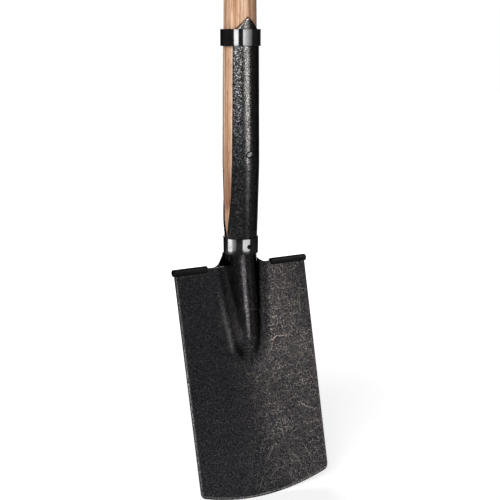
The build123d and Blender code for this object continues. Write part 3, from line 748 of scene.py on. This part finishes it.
def sheet_panel(x):
    """Front and rear points of the sheet for columns at x. The rows run from the top edge to the cutting
    edge, x is drawn in with the taper of the sides, and the front is eased along all edges."""
    fine = 1 - np.array([3.4, 2.9, 2.4, 1.8, 1.2, 0.6, 0.02]) / BLADE_LENGTH
    upper, lower = np.linspace(0.006, 0.5, 90), np.linspace(0.5, 0.985, 70)[1:]
    share = np.concatenate([[0.0, 0.003], upper, lower, fine])[:, None]
    x = x[None, :]
    out = np.abs(x)
    end = edge_slope(x * EDGE_WIDTH / TOP_WIDTH)
    slope = -TOP_EDGE_RISE + share * (end + TOP_EDGE_RISE)
    taper = (EDGE_WIDTH / TOP_WIDTH - 1) * slope / (BLADE_LENGTH - EDGE_SAGITTA)
    across = x * (1 + taper * smooth_step(NECK_SEAM, 1.4 * NECK_SEAM, out))
    bevel = BEVEL_DEPTH * np.clip(1 - (end - slope) / BEVEL_REACH, 0, 1)
    drop = eased(TOP_WIDTH / 2 - out, *SIDE_EASE) + bevel
    drop = drop + smooth_step(NECK_SEAM, 2 * NECK_SEAM, out) * eased(slope + TOP_EDGE_RISE, *TOP_EASE)
    front = blade_front(across, slope) - np.minimum(drop, MOST_EASE)
    return on_blade(across, slope, front), on_blade(across, slope, blade_rear(across, slope))


def neck_cheek(edge, side):
    """Cheek of the neck: arcs round the shaft from the middle panel's edge points back to the seam. Below
    the top edge the arcs go on behind the sheet's lip, sunk by a little."""
    drop = np.linspace(0, LIP_DEPTH, 7)[1:]
    low = np.repeat(edge[-1:], len(drop), axis=0)
    low[:, 2] -= drop
    start = np.concatenate([edge, low])
    height = start[:, 2:3]
    first = np.arctan2(np.abs(start[:, :1]), -start[:, 1:2])
    last = np.arccos(np.clip(SEAM / 2 / strap_radius(height), 0, 1))
    turn = np.linspace(0, 1, 17)[None, :]
    angle = side * (first + (last - first) * turn)
    radius = np.hypot(start[:, :1], start[:, 1:2]) * (1 - turn) + strap_radius(height) * turn
    sunk = np.where(np.arange(len(start)) < len(edge), 0.0, LIP_SINK)[:, None]
    radius = radius - sunk * (1 - smooth_step(0.0, 0.5, turn))
    order = slice(None) if side > 0 else slice(None, None, -1)
    outside, inside = (on_shaft(wall, angle, height)[:, order] for wall in (radius, radius - FOOT_GAUGE))
    return outside, inside


def sheet_form():
    """Blade, frog and neck as one wall: a middle panel from under the ring to the cutting edge, a side
    panel on each side of it, and the two cheeks of the neck."""
    near_edge = TOP_WIDTH / 2 - np.array([3.0, 1.8, 1.1, 0.6, 0.25, 0.0])
    side_x = np.concatenate([np.linspace(NECK_SEAM, TOP_WIDTH / 2 - 4.0, 56), near_edge])
    middle_x = np.linspace(-NECK_SEAM, NECK_SEAM, 45)
    neck_x, neck_slope = np.meshgrid(middle_x, np.linspace(NECK_TOP, -TOP_EDGE_RISE, 16)[:-1])
    neck = [on_blade(neck_x, neck_slope, level(neck_x, neck_slope)) for level in (blade_front, blade_rear)]
    middle = [np.concatenate(pair) for pair in zip(neck, sheet_panel(middle_x))]
    rows = len(neck_x) + 1
    cheeks = [neck_cheek(middle[0][:rows, column], side) for column, side in ((-1, 1), (0, -1))]
    return closed_wall([middle, sheet_panel(side_x), sheet_panel(-side_x[::-1]), *cheeks])


def sheet_marks(points):
    """Wear, painted highlights and blacking of the sheet. The mark of wear and highlight follows the
    distances
    to the edges: a line along the sides, worn and, stronger on the left, a painted highlight; a worn line
    above the bevel of the cutting edge; a painted highlight on the lip beside the neck, mostly on the left;
    and a faint painted highlight down the frog's left foot.
    Blacked is near 1 on the frog and neck, where the forge scale was left, and most in the hollow of the left
    flank; it fades out over the frog's foot and is worn along its crest."""
    x, y, z = points.T
    slope = -(y + SET_FORWARD) * SIN_CANT - z * COS_CANT
    level = -(y + SET_FORWARD) * COS_CANT + z * SIN_CANT + dish(x, slope)
    half = TOP_WIDTH / 2 + (EDGE_WIDTH - TOP_WIDTH) / 2 * slope / (BLADE_LENGTH - EDGE_SAGITTA)
    # Painted highlights: the side line is worn steel and, stronger on the left, a painted highlight; the lip
    # line, mostly on the left, and the line down the frog's left foot are painted highlights.
    side = np.where(x < 0, 0.4, 0.08) * ridge(half - np.abs(x) - SIDE_WEAR_AND_HIGHLIGHT, WEAR_AND_HIGHLIGHT_WIDTH)
    bevel = 0.3 * ridge(edge_slope(x) - slope - BEVEL_WEAR, WEAR_AND_HIGHLIGHT_WIDTH)
    lip = np.where(x < 0, 0.8, 0.1) * np.clip(1.2 - np.abs(slope + TOP_EDGE_RISE), 0, 1)
    lip = lip * smooth_step(*LIP_HIGHLIGHT, np.abs(x))
    foot_highlight = 0.24 * smooth_step(*FOOT_HIGHLIGHT_COMES, slope) * (1 - smooth_step(*FOOT_HIGHLIGHT_GOES, slope))
    foot_highlight = foot_highlight * ridge(x + FROG_HALF - slope / 8, FOOT_HIGHLIGHT_WIDTH)
    wear_and_highlight = np.maximum.reduce([side, bevel, lip, foot_highlight]) * (level > 0)
    rise = frog_level(x, slope, 0.0)
    flank = 0.89 + 0.11 * ridge(x + 0.6 * frog_foot(slope), 9) * smooth_step(10.0, 50.0, slope)
    blacked = np.where(x < 0, smooth_step(0.02, 1.2, rise), smooth_step(2.0, 7.0, rise))
    return {"wear_and_highlight": wear_and_highlight, "blacked": blacked * flank * (1 - 0.6 * ridge(x + CREST_WEAR, CREST_WEAR))}


def strap_form(front):
    """Strap as a wall round the shaft, and a painted highlight on the chamfer along the left of the tip. The
    front one ends under the lower ring, the rear one runs on to its lap. The width follows the front view,
    the tip is a gable and the edge is eased."""
    eaves = TIP_HEIGHT - GABLE_HEIGHT
    rise = (GABLE_HEIGHT - 0.1) * np.sin(np.linspace(0, math.pi / 2, 18)[1:])
    sides = np.linspace(FRONT_FOOT if front else REAR_LAP, eaves, 100)
    height = np.concatenate([sides, eaves + rise])[:, None]
    radius = strap_radius(height)
    gable = np.clip((height - eaves) / GABLE_HEIGHT, 0, 1)
    if front:
        half = np.interp(height, [ROOT_HEIGHT, eaves], [FRONT_FOOT_HALF, FRONT_TOP_HALF])
        flare = FOOT_FLARE * (1 - smooth_step(*FLARE_FADE, height))
        reach, lean, turn = np.arcsin(np.clip(half / radius, 0, 1)) + flare, -GABLE_LEAN, 0.0
    else:
        reach, lean, turn = np.radians(np.interp(height, REAR_HEIGHTS, REAR_REACH)), 0.0, math.pi
    reach = np.minimum(reach, np.arccos(SEAM / 2 / radius))
    half = radius * np.sin(reach) * np.sqrt((1 - gable) * (1 - gable + GABLE_ROUND) / (1 + GABLE_ROUND))
    slant = (np.arcsin((lean * gable + side * half) / radius) for side in (-1, 1))
    left, right = (np.where(gable > 0, angle, side * reach) for angle, side in zip(slant, (-1, 1)))
    share = edge_spaced(49, np.array([0.0, 0.008, 0.02, 0.036]))[None, :]
    angle = left + (right - left) * share + turn
    width = (right - left) * radius
    to_left, to_right = share * width, (1 - share) * width
    rounding = eased(np.minimum(to_left, to_right), *STRAP_EASE)
    outside = on_shaft(radius - rounding, angle, height).reshape(-1, 3)
    inside = on_shaft(radius - strap_gauge(height), angle, height).reshape(-1, 3)
    # Painted highlight: the chamfer along the gable's left slope is made bright bare steel, standing in for
    # the light it catches.
    rub = 2.4 * np.clip(1.5 - to_left, 0, 1) * smooth_step(0.0, 0.15, gable)
    marks = {"wear_and_highlight": np.concatenate([rub.reshape(-1), np.zeros(len(inside))])}
    return shell(outside, inside, grid_faces(*angle.shape)), marks


def tongue_form():
    """Root of the rear strap as a wall behind the blade: a height field whose sides flare out below the
    ring in a hollow quarter arc of the front view, on the left mixed with a straight line, run in to the
    nose and end in a round. The flare and the surface it lies on are found together by halving steps. The
    upper rows are shifted so that the top lies level under the ring."""
    top = FOOT_HEIGHT - RING_FIT
    behind = -BLADE_GAUGE / 2 - WELD_GAP - STRAP_GAUGE
    nose_start = TONGUE_LENGTH - TONGUE_NOSE
    nose_rows = nose_start + TONGUE_NOSE * np.sin(np.linspace(0, math.pi / 2 - 0.04, 16)[1:])
    upper, lower = np.linspace(TONGUE_TOP, TONGUE_BEND, 46), np.linspace(TONGUE_BEND, nose_start, 60)[1:]
    slope = np.concatenate([upper, lower, nose_rows])
    taper = np.interp(slope, [0.0, nose_start], [TONGUE_SHOULDER, TONGUE_NOSE])
    nose = np.sqrt(np.maximum(TONGUE_NOSE**2 - np.maximum(slope - nose_start, 0) ** 2, 0))
    half = np.where(slope > nose_start, nose, taper)
    sides = []
    for straight in (LEFT_STRAIGHT, RIGHT_STRAIGHT):
        flare = np.full_like(slope, TONGUE_SHOULDER)
        for _ in range(12):
            level = behind - tongue_level(flare, slope, 0.0)
            below = np.clip((top + slope * COS_CANT - level * SIN_CANT) / FLARE_RADIUS, 0, 1)
            spread = straight * below + (1 - straight) * (1 - np.sqrt(1 - below**2))
            flare = (flare + TONGUE_SHOULDER - FLARE_RADIUS * (1 - spread)) / 2
        sides.append(np.where(slope < 0, np.minimum(flare, half), half)[:, None])
    share = edge_spaced(61, np.array([0.0, 0.006, 0.014, 0.03]))[None, :]
    half = np.where(share < 0.5, *sides)
    x = half * (2 * share - 1)
    slope = slope[:, None]
    level_top = ((behind - tongue_level(x[:1], slope[:1], 0.0)) * SIN_CANT - top) / COS_CANT
    shift = np.clip((TONGUE_LEVELLED - slope) / (TONGUE_LEVELLED - slope[:1]), 0, 1)
    slope = slope + (level_top - slope[:1]) * shift
    seat = -gauge(slope) / 2 - WELD_GAP - dish(x, slope)
    rounding = eased(np.minimum(share, 1 - share) * 2 * half, *TONGUE_EASE)
    rear = seat - STRAP_GAUGE - tongue_level(x, slope, 0.0) + rounding
    front = seat - tongue_level(x, slope, STRAP_GAUGE)
    rear, front = (on_blade(x, slope, level).reshape(-1, 3) for level in (rear, front))
    return shell(rear, front, grid_faces(*x.shape))


class SPADE_OT_blade(Operator):
    """Forge the blade with its frog and front strap"""

    bl_idname = "spade.blade"
    bl_label = "Blade"

    def execute(self, context):
        finish = context.scene.spade_finish
        sheet = sheet_form()
        add_piece("blade_sheet", sheet, blade_steel(finish), "blade", sheet_marks(sheet[0]))
        strap, marks = strap_form(True)
        add_piece("front_strap", strap, forge_black(finish), "blade", marks)
        return {"FINISHED"}


class SPADE_OT_rear_strap(Operator):
    """Lay the rear strap and its tongue on the shaft and the blade's back"""

    bl_idname = "spade.rear_strap"
    bl_label = "Rear strap"

    def execute(self, context):
        form = joined(strap_form(False)[0], tongue_form())
        material = forge_black(context.scene.spade_finish)
        add_piece("rear_strap_piece", form, material, "rear_strap")
        return {"FINISHED"}


def tread_form(side, length):
    """Slit tube: a C-shaped section, open where the sheet enters, along the blade's top edge. Its outside
    is eased at both ends."""
    gap = math.asin((BLADE_GAUGE / 2 + CLOSE_FIT) / TREAD_RADIUS)
    around = np.linspace(gap, 2 * math.pi - gap, 72)[None, :]
    outer = TOP_WIDTH / 2 + TREAD_OVERHANG
    fine = np.array([0.0, 0.15, 0.45, 0.9, 2.0])
    along = np.concatenate([fine, np.linspace(4, length - 4, 24), length - fine[::-1]])[:, None]
    x = along + (outer - length if side > 0 else -outer)
    radius = TREAD_RADIUS - eased(np.minimum(along, length - along), *TREAD_EASE)
    walls = [radius, np.full_like(radius, TREAD_RADIUS - TREAD_WALL)]
    walls = [on_blade(x, wall * np.cos(around), wall * np.sin(around)).reshape(-1, 3) for wall in walls]
    return shell(*walls, grid_faces(len(along), around.size))


class SPADE_OT_treads(Operator):
    """Push the two treads over the blade's shoulders"""

    bl_idname = "spade.treads"
    bl_label = "Treads"

    def execute(self, context):
        material = blued_steel("satin blued steel", context.scene.spade_finish, 0.36, 0.2)
        for node, side, length in (("left_tread", -1, LEFT_TREAD), ("right_tread", 1, RIGHT_TREAD)):
            add_piece(f"{node}_piece", tread_form(side, length), material, node)
        return {"FINISHED"}


def ring_form(base, edge):
    """Ring: a band with a tapered bore, a straight outside and edges rounded off in an arc, turned."""
    top = base + RING_HEIGHT
    outside = strap_radius(base + RING_HEIGHT / 2) + RING_FIT + RING_GAUGE
    arc = np.linspace(0, math.pi / 2, 6)
    low = np.stack([outside - edge + edge * np.sin(arc), base + edge - edge * np.cos(arc)], axis=-1)
    high = np.stack([outside - edge + edge * np.cos(arc), top - edge + edge * np.sin(arc)], axis=-1)
    bore = [[[strap_radius(height) + RING_FIT, height]] for height in (base, top)]
    return turned(np.concatenate([bore[0], low, high, bore[1]]), 160)


class SPADE_OT_rings(Operator):
    """Drive the two rings over the straps"""

    bl_idname = "spade.rings"
    bl_label = "Rings"

    def execute(self, context):
        finish = context.scene.spade_finish
        material = blued_steel("polished blued steel", finish, 0.09, 0.05)
        for node, base in (("lower_ring", FOOT_HEIGHT), ("upper_ring", TIP_HEIGHT - UPPER_RING_DROP)):
            add_piece(f"{node}_piece", ring_form(base, finish.ring_round / MM), material, node)
        return {"FINISHED"}


def head_form(height, seat, radius, rise, side):
    """Domed head on the shaft, side 1 in front and -1 behind: a spherical cap turned round the pin's axis,
    closed by a shank that is sunk into what carries it."""
    ball = (rise**2 + radius**2) / (2 * rise)
    polar = np.linspace(0.0, math.asin(radius / ball), 14)
    ring = np.concatenate([ball * np.sin(polar), [radius, 0.0]])[:, None]
    out = np.concatenate([seat + rise - ball * (1 - np.cos(polar)), [seat - radius] * 2])[:, None]
    around = full_turn(40)[None, :]
    x, z = side * ring * np.cos(around), height + ring * np.sin(around)
    points = np.stack(np.broadcast_arrays(x, -side * out, z), axis=-1).reshape(-1, 3)
    return weld(points, grid_faces(*x.shape, closed=True))


def two_heads(height, seat, radius, rise):
    """Heads in front and behind of one through pin."""
    return joined(*(head_form(height, seat, radius, rise, side) for side in (1, -1)))


class SPADE_OT_rivets(Operator):
    """Set the through rivet and the ring's pin"""

    bl_idname = "spade.rivets"
    bl_label = "Rivet and pin"

    def execute(self, context):
        material = forge_black(context.scene.spade_finish)
        seat = float(strap_radius(RIVET_HEIGHT))
        heads = two_heads(RIVET_HEIGHT, seat, RIVET_HEAD, RIVET_RISE)
        x, y, z = heads[0].T
        # Painted highlight: the upper left of each domed head is made bright bare steel, where the light
        # falls on it.
        crown, upper_left = np.abs(y) - seat, z - RIVET_HEIGHT - x
        worn = 1.2 * smooth_step(0.5, RIVET_RISE, crown) * smooth_step(-3.0, 2.0, upper_left)
        add_piece("strap_rivet_piece", heads, material, "strap_rivet", {"wear_and_highlight": worn})
        middle = FOOT_HEIGHT + RING_HEIGHT / 2
        seat = float(strap_radius(middle)) + RING_FIT + RING_GAUGE
        head = head_form(middle, seat, PIN_HEAD, PIN_RISE, 1)
        add_piece("ring_pin_piece", head, material, "ring_pin")
        return {"FINISHED"}


def hermite(share, start, end, start_slope, end_slope):
    """Cubic from start to end with the slopes given per unit of share."""
    square, cube = share**2, share**3
    ends = start * (2 * cube - 3 * square + 1) + end * (3 * square - 2 * cube)
    return ends + start_slope * (cube - 2 * square + share) + end_slope * (cube - square)


def grip_radius(along):
    """Radius of the grip bar: one cubic from its middle to its waist and one on to its end."""
    along, waist = np.abs(along), GRIP_LENGTH / 4
    inner = hermite(along / waist, GRIP_MIDDLE, GRIP_WAIST, 0.0, WAIST_SLOPE * waist)
    outer = hermite(along / waist - 1, GRIP_WAIST, GRIP_END, WAIST_SLOPE * waist, END_SLOPE * waist)
    return np.where(along < waist, inner, outer)


def grip_cap(x, y, drop, taper):
    """Top and foot points of what stands in the grip's middle: the top follows the grip's upper surface, less
    a drop, and the foot lies level on the grip's axis, drawn in across."""
    top = np.stack([x, y, GRIP_HEIGHT + np.sqrt(grip_radius(x) ** 2 - y**2) - drop], axis=-1)
    foot = np.stack([taper * x, y, np.full_like(x, GRIP_HEIGHT)], axis=-1)
    return top.reshape(-1, 3), foot.reshape(-1, 3)


def shaft_form():
    """Shaft: a profile through its stations, turned, and the tenon's end on top of the grip as a disc on a
    polar grid that follows the grip."""
    stations = np.array([FOOT_HEIGHT + RING_HEIGHT / 2, BELLY_HEIGHT, TIP_HEIGHT])
    strapped = strap_radius(stations) - strap_gauge(stations) - CLOSE_FIT
    above = [PARALLEL_BASE, PARALLEL_BASE + PARALLEL_LENGTH, GRIP_HEIGHT - GRIP_NECK_LENGTH, GRIP_HEIGHT]
    levels = [-SHAFT_FOOT_DEPTH, *stations, *above]
    bare = [PARALLEL_RADIUS, PARALLEL_RADIUS, GRIP_NECK_RADIUS, GRIP_NECK_RADIUS]
    radii = [SHAFT_FOOT_RADIUS, *strapped, *bare]
    upper = np.linspace(TIP_HEIGHT, GRIP_HEIGHT - SHAFT_TOP_DEPTH, 90)[1:]
    height = np.concatenate([levels[:1], np.linspace(stations[0], TIP_HEIGHT, 40), upper])
    profile = np.stack([np.interp(height, levels, radii), height], axis=-1)
    stem = turned(np.concatenate([[[0.0, height[0]]], profile, [[0.0, height[-1]]]]), 96)
    rim = [TENON_RADIUS - 0.1, TENON_RADIUS]
    ring = np.concatenate([np.linspace(0, TENON_RADIUS - TENON_EASE[1], 14), rim])[:, None]
    around = full_turn(72)[None, :]
    x, y = ring * np.cos(around), ring * np.sin(around)
    cap = grip_cap(x, y, GRIP_SHRINK / 2 + eased(TENON_RADIUS - ring, *TENON_EASE), 1.0)
    return joined(stem, sewn(*cap, grid_faces(*x.shape, closed=True)))


def ash_look(finish):
    """Ring spacing and colours of the ash, for shaft and grip alike."""
    return finish.growth_ring, finish.ash_light, finish.ash_middle, finish.ash_dark


class SPADE_OT_shaft(Operator):
    """Turn the ash shaft"""

    bl_idname = "spade.shaft"
    bl_label = "Shaft"

    def execute(self, context):
        wood = waxed_wood("waxed ash", *ash_look(context.scene.spade_finish), with_painted_shade=True)
        add_piece("shaft_piece", shaft_form(), wood, "shaft")
        return {"FINISHED"}


def grip_form():
    """Grip bar: its radius along X, rounded at the ends in a quarter arc, turned round X. It is a little
    slimmer than the tenon's end, which stands proud as dried wood does."""
    half = GRIP_LENGTH / 2
    body = np.linspace(-half + GRIP_ROUND, half - GRIP_ROUND, 141)[1:-1]
    turn = np.linspace(0, math.pi / 2, 12)
    end_x = half - GRIP_ROUND * (1 - np.sin(turn))
    end_r = float(grip_radius(half - GRIP_ROUND)) - GRIP_ROUND * (1 - np.cos(turn))
    along = np.concatenate([[-half], -end_x[::-1], body, end_x, [half]])[:, None]
    radius = np.concatenate([[0.0], end_r[::-1], grip_radius(body), end_r, [0.0]])[:, None]
    radius = np.maximum(radius - GRIP_SHRINK, 0)
    around = full_turn(96)[None, :]
    y, z = radius * np.cos(around), GRIP_HEIGHT + radius * np.sin(around)
    points = np.stack(np.broadcast_arrays(along, y, z), axis=-1)
    return weld(points.reshape(-1, 3), grid_faces(*y.shape, closed=True))


def wedge_form():
    """Wedge's end in the tenon: a strip across the shaft that follows the grip's top."""
    reach = math.sqrt(TENON_RADIUS**2 - (WEDGE_TOP / 2) ** 2)
    x, y = np.meshgrid(np.linspace(-WEDGE_TOP / 2, WEDGE_TOP / 2, 7), np.linspace(-reach, reach, 41))
    return shell(*grip_cap(x, y, WEDGE_SINK, WEDGE_TAPER), grid_faces(*x.shape))


class SPADE_OT_grip(Operator):
    """Turn the T-grip and set its wedge and cross pin"""

    bl_idname = "spade.grip"
    bl_label = "Grip"

    def execute(self, context):
        finish = context.scene.spade_finish
        wood = waxed_wood("waxed ash across", *ash_look(finish), upright=False)
        add_piece("grip_bar_piece", grip_form(), wood, "grip_bar")
        tones = (finish.wedge_light, finish.wedge_light, finish.wedge_dark)
        wood = waxed_wood("oiled hardwood", finish.growth_ring, *tones)
        add_piece("grip_wedge_piece", wedge_form(), wood, "grip_wedge")
        seat = math.sqrt(GRIP_MIDDLE**2 - GRIP_PIN_DROP**2) - GRIP_PIN_SINK
        ends = two_heads(GRIP_HEIGHT - GRIP_PIN_DROP, seat, GRIP_PIN_RADIUS, GRIP_PIN_RISE)
        add_piece("grip_pin_piece", ends, drawn_steel(finish), "grip_pin")
        return {"FINISHED"}


def round_shaft(azimuth, height):
    """Place a metre from the shaft's axis; azimuth, in degrees, is 0 in front and grows towards +X."""
    turn = math.radians(azimuth)
    return Vector((math.sin(turn), -math.cos(turn), height))


def soft_box(name, place, target, size, radiance, receivers=None, colour=WHITE, lean=0.0, beam=math.pi):
    """Rectangular light that faces a target, its upright side leaning by some degrees. Without receivers it
    lights matt surfaces; with them it is seen only in their gloss, and only they shade it. A beam angle under
    a half turn is a grid on the light, which dims it towards the beam's sides."""
    light = bpy.data.lights.new(name, "AREA")
    light.shape = "RECTANGLE"
    light.size, light.size_y = size
    light.energy = radiance * math.pi * size[0] * size[1]
    light.color = colour
    if beam < math.pi:
        light.spread = beam
        light.energy *= (math.tan(beam / 2) - beam / 2) / math.tan(beam / 2)
    lamp = bpy.data.objects.new(name, light)
    facing = (Vector(place) - Vector(target)).normalized()
    sideways = Vector((0, 0, 1)).cross(facing).normalized()
    turn = math.radians(lean)
    upward = facing.cross(sideways) * math.cos(turn) + sideways * math.sin(turn)
    lamp.location = place
    lamp.rotation_euler = Matrix((upward.cross(facing), upward, facing)).transposed().to_euler()
    bpy.context.scene.collection.objects.link(lamp)
    lamp.visible_glossy = receivers is not None
    if receivers is not None:
        lamp.visible_diffuse = False
        lamp.light_linking.receiver_collection = receivers
        lamp.light_linking.blocker_collection = receivers


def strip(name, azimuths, heights, radiance, receivers, colour=WHITE):
    """Light a metre from the shaft's axis, which sees it between two azimuths and two heights."""
    middle, half = sum(azimuths) / 2, (azimuths[1] - azimuths[0]) / 2
    place = round_shaft(middle, sum(heights) / 2)
    size = (2 * math.tan(math.radians(half)), heights[1] - heights[0])
    soft_box(name, place, (0, 0, place.z), size, radiance, receivers, colour)


def piece_set(name, *pieces):
    """Collection of pieces that a light is meant for."""
    collection = bpy.data.collections.new(name)
    for piece in pieces:
        collection.objects.link(bpy.data.objects[piece])
    return collection


def seen_directly(add):
    """1 for camera, glossy and transmission rays, so that the surround is seen as white."""
    path = add("LightPath")
    sight = path.outputs["Is Camera Ray"]
    for kind in ("Is Glossy Ray", "Is Transmission Ray"):
        sight = add("Math", {0: sight, 1: path.outputs[kind]}, operation="MAXIMUM")
    return sight


def paper_floor():
    """White paper under the spade: matt, and bright enough to the eye that only the shadow shows. Its glow
    grows away from the spade, where the lamps no longer reach."""
    low = CAD_BOX[0][2] - FLOOR_GAP
    corners = [(FLOOR_HALF * x, FLOOR_HALF * y, low) for x, y in ((-1, -1), (1, -1), (1, 1), (-1, 1))]
    mesh = bpy.data.meshes.new("floor")
    mesh.from_pydata(corners, [], [(0, 1, 2, 3)])
    floor = bpy.data.objects.new("floor", mesh)
    bpy.context.scene.collection.objects.link(floor)
    material, add, place = new_material("white paper")
    paper = add("BsdfDiffuse", {0: grey(0.82)})
    away = add("Mapping", {0: place, "Scale": (1.0, 1.0, 0.0)})
    away = add("VectorMath", {0: away}, operation="LENGTH").outputs["Value"]
    glow = add("MapRange", {0: away, 1: 0.3, 2: 1.2, 3: 0.55, 4: 1.0}, interpolation_type="SMOOTHSTEP")
    glow = add("Math", {0: seen_directly(add), 1: glow}, operation="MULTIPLY")
    glow = add("Emission", {1: glow})
    add("OutputMaterial", {0: add("AddShader", {0: paper, 1: glow})})
    mesh.materials.append(material)


def white_surround(ambient):
    """World that is white to the eye and in gloss, and weaker as light on matt surfaces."""
    world = bpy.data.worlds.new("white surround")
    bpy.context.scene.world = world
    add = empty_tree(world)
    level = add("MapRange", {0: seen_directly(add), 3: ambient, 4: 1.0})
    add("OutputWorld", {0: add("Background", {0: CLEAR, 1: level})})


def ring_lights(levels):
    """Strips that the rings mirror. Several that start together and end apart give one soft end."""
    upper, lower = (piece_set(f"{ring} ring", f"{ring}_ring_piece") for ring in ("upper", "lower"))
    strip("upper_left", (-62, -38), UPPER_SPAN, levels.ring_level, upper)
    for last in (-7, 0, 7, 14, 22, 31, 41):
        strip("upper_right", (-12, last), UPPER_SPAN, 0.11 * levels.ring_level, upper)
    for last, share in ((-83, 0.6), (-72, 0.15), (-57, 0.15)):
        strip("lower_left", (-115, last), LOWER_SPAN, share * levels.ring_level, lower)
    strip("lower_right", (-14, 33), LOWER_SPAN, 0.65 * levels.ring_level, lower)


def strap_and_blade_lights(levels):
    """Lights that the front strap, the treads, the blade and then all the metal mirror. The panels before the
    blade's right half stand close to it, each over its own stretch of the slope."""
    straps = piece_set("straps", "front_strap")
    place = round_shaft(12.2, -0.42)
    soft_box("strap_right", place, (0, 0, place.z), (0.25, 0.56), levels.strap_level, straps, WARM, -59)
    strip("strap_left", (-72, -21), (-0.46, -0.1), levels.glint_level, straps, COOL)
    treads = ("left_tread_piece", "right_tread_piece")
    tread_set = piece_set("treads", *treads)
    soft_box("tread_top", (0.6, -0.6, 0.1), (0, 0, raised(0.0)), (0.3, 0.4), levels.tread_level, tread_set)
    sheet = piece_set("sheet", "blade_sheet")
    strip("crest", (-27, -3), (-0.695, -0.6), levels.crest_level, sheet, WARM)
    for middle, length, share in ((154, 0.37, 0.46), (104, 0.24, 0.24), (66, 0.14, 0.3)):
        near = Vector(on_blade(PANEL_ACROSS, middle, 0.0) - [0, 0, CLIP_HEIGHT]) * MM
        far, level = near + PANEL_AWAY * Vector(PANEL_SIDE), share * levels.panel_level
        soft_box("blade_panel", far, near, (0.085, length), level, sheet, WARMER, 0, PANEL_BEAM)
    straps_and_rings = ("front_strap", "rear_strap_piece", "lower_ring_piece", "upper_ring_piece")
    metal = piece_set("metal", *straps_and_rings, "ring_pin_piece", "blade_sheet", *treads)
    strip("rear_strip", (165, 185), (-0.9, 0.1), levels.rear_level, metal)
    for away, share, receivers in ((0.4, 1.0, metal), (-0.6, 0.28, sheet)):
        place, above = (0, away, BOUNCE_HEIGHT), (0, 0.98 * away, 0)
        soft_box("bounce", place, above, BOUNCE_SIZE, share * levels.bounce_level, receivers)


class SPADE_OT_stage(Operator):
    """Set the floor, the white surround, the studio lights and the camera"""

    bl_idname = "spade.stage"
    bl_label = "Stage"

    def execute(self, context):
        scene, levels = context.scene, context.scene.spade_stage
        paper_floor()
        white_surround(levels.ambient)
        soft_box("key", (-1.5, -1.6, 0.4), (0, 0, -0.5), (1.4, 1.6), levels.key_level)
        soft_box("fill", (1.5, -1.3, -0.1), (0, 0, -0.5), (1.0, 1.6), levels.fill_level)
        soft_box("back", (0.5, 1.95, 0.6), (0, 0, -0.4), (1.4, 1.6), levels.back_level)
        ring_lights(levels)
        strap_and_blade_lights(levels)
        data = bpy.data.cameras.new("camera")
        data.lens, data.sensor_width = CAMERA_LENS, CAMERA_SENSOR
        camera = bpy.data.objects.new("camera", data)
        camera.location = CAMERA_PLACE
        camera.rotation_euler = Vector(CAMERA_SIGHT).to_track_quat("-Z", "Y").to_euler()
        scene.collection.objects.link(camera)
        scene.camera = camera
        scene.view_settings.view_transform = "Standard"
        return {"FINISHED"}


class SPADE_PT_panel(Panel):
    """Sidebar list of the spade's operators"""

    bl_idname = "SPADE_PT_panel"
    bl_label = "Grubbing spade"
    bl_space_type = "VIEW_3D"
    bl_region_type = "UI"
    bl_category = "Spade"

    def draw(self, context):
        for operator in OPERATORS:
            self.layout.operator(operator.bl_idname)


OPERATORS = (
    SPADE_OT_blade, SPADE_OT_rear_strap, SPADE_OT_treads, SPADE_OT_rings, SPADE_OT_rivets, SPADE_OT_shaft,
    SPADE_OT_grip, SPADE_OT_stage)
CLASSES = (SpadeFinish, SpadeStage, *OPERATORS, SPADE_PT_panel)


def register():
    for cls in CLASSES:
        bpy.utils.register_class(cls)
    bpy.types.Scene.spade_finish = PointerProperty(type=SpadeFinish)
    bpy.types.Scene.spade_stage = PointerProperty(type=SpadeStage)


def unregister():
    del bpy.types.Scene.spade_stage
    del bpy.types.Scene.spade_finish
    for cls in reversed(CLASSES):
        bpy.utils.unregister_class(cls)


def main():
    register()
    for operator in OPERATORS:
        group, name = operator.bl_idname.split(".")
        getattr(getattr(bpy.ops, group), name)()


if __name__ == "__main__":
    main()
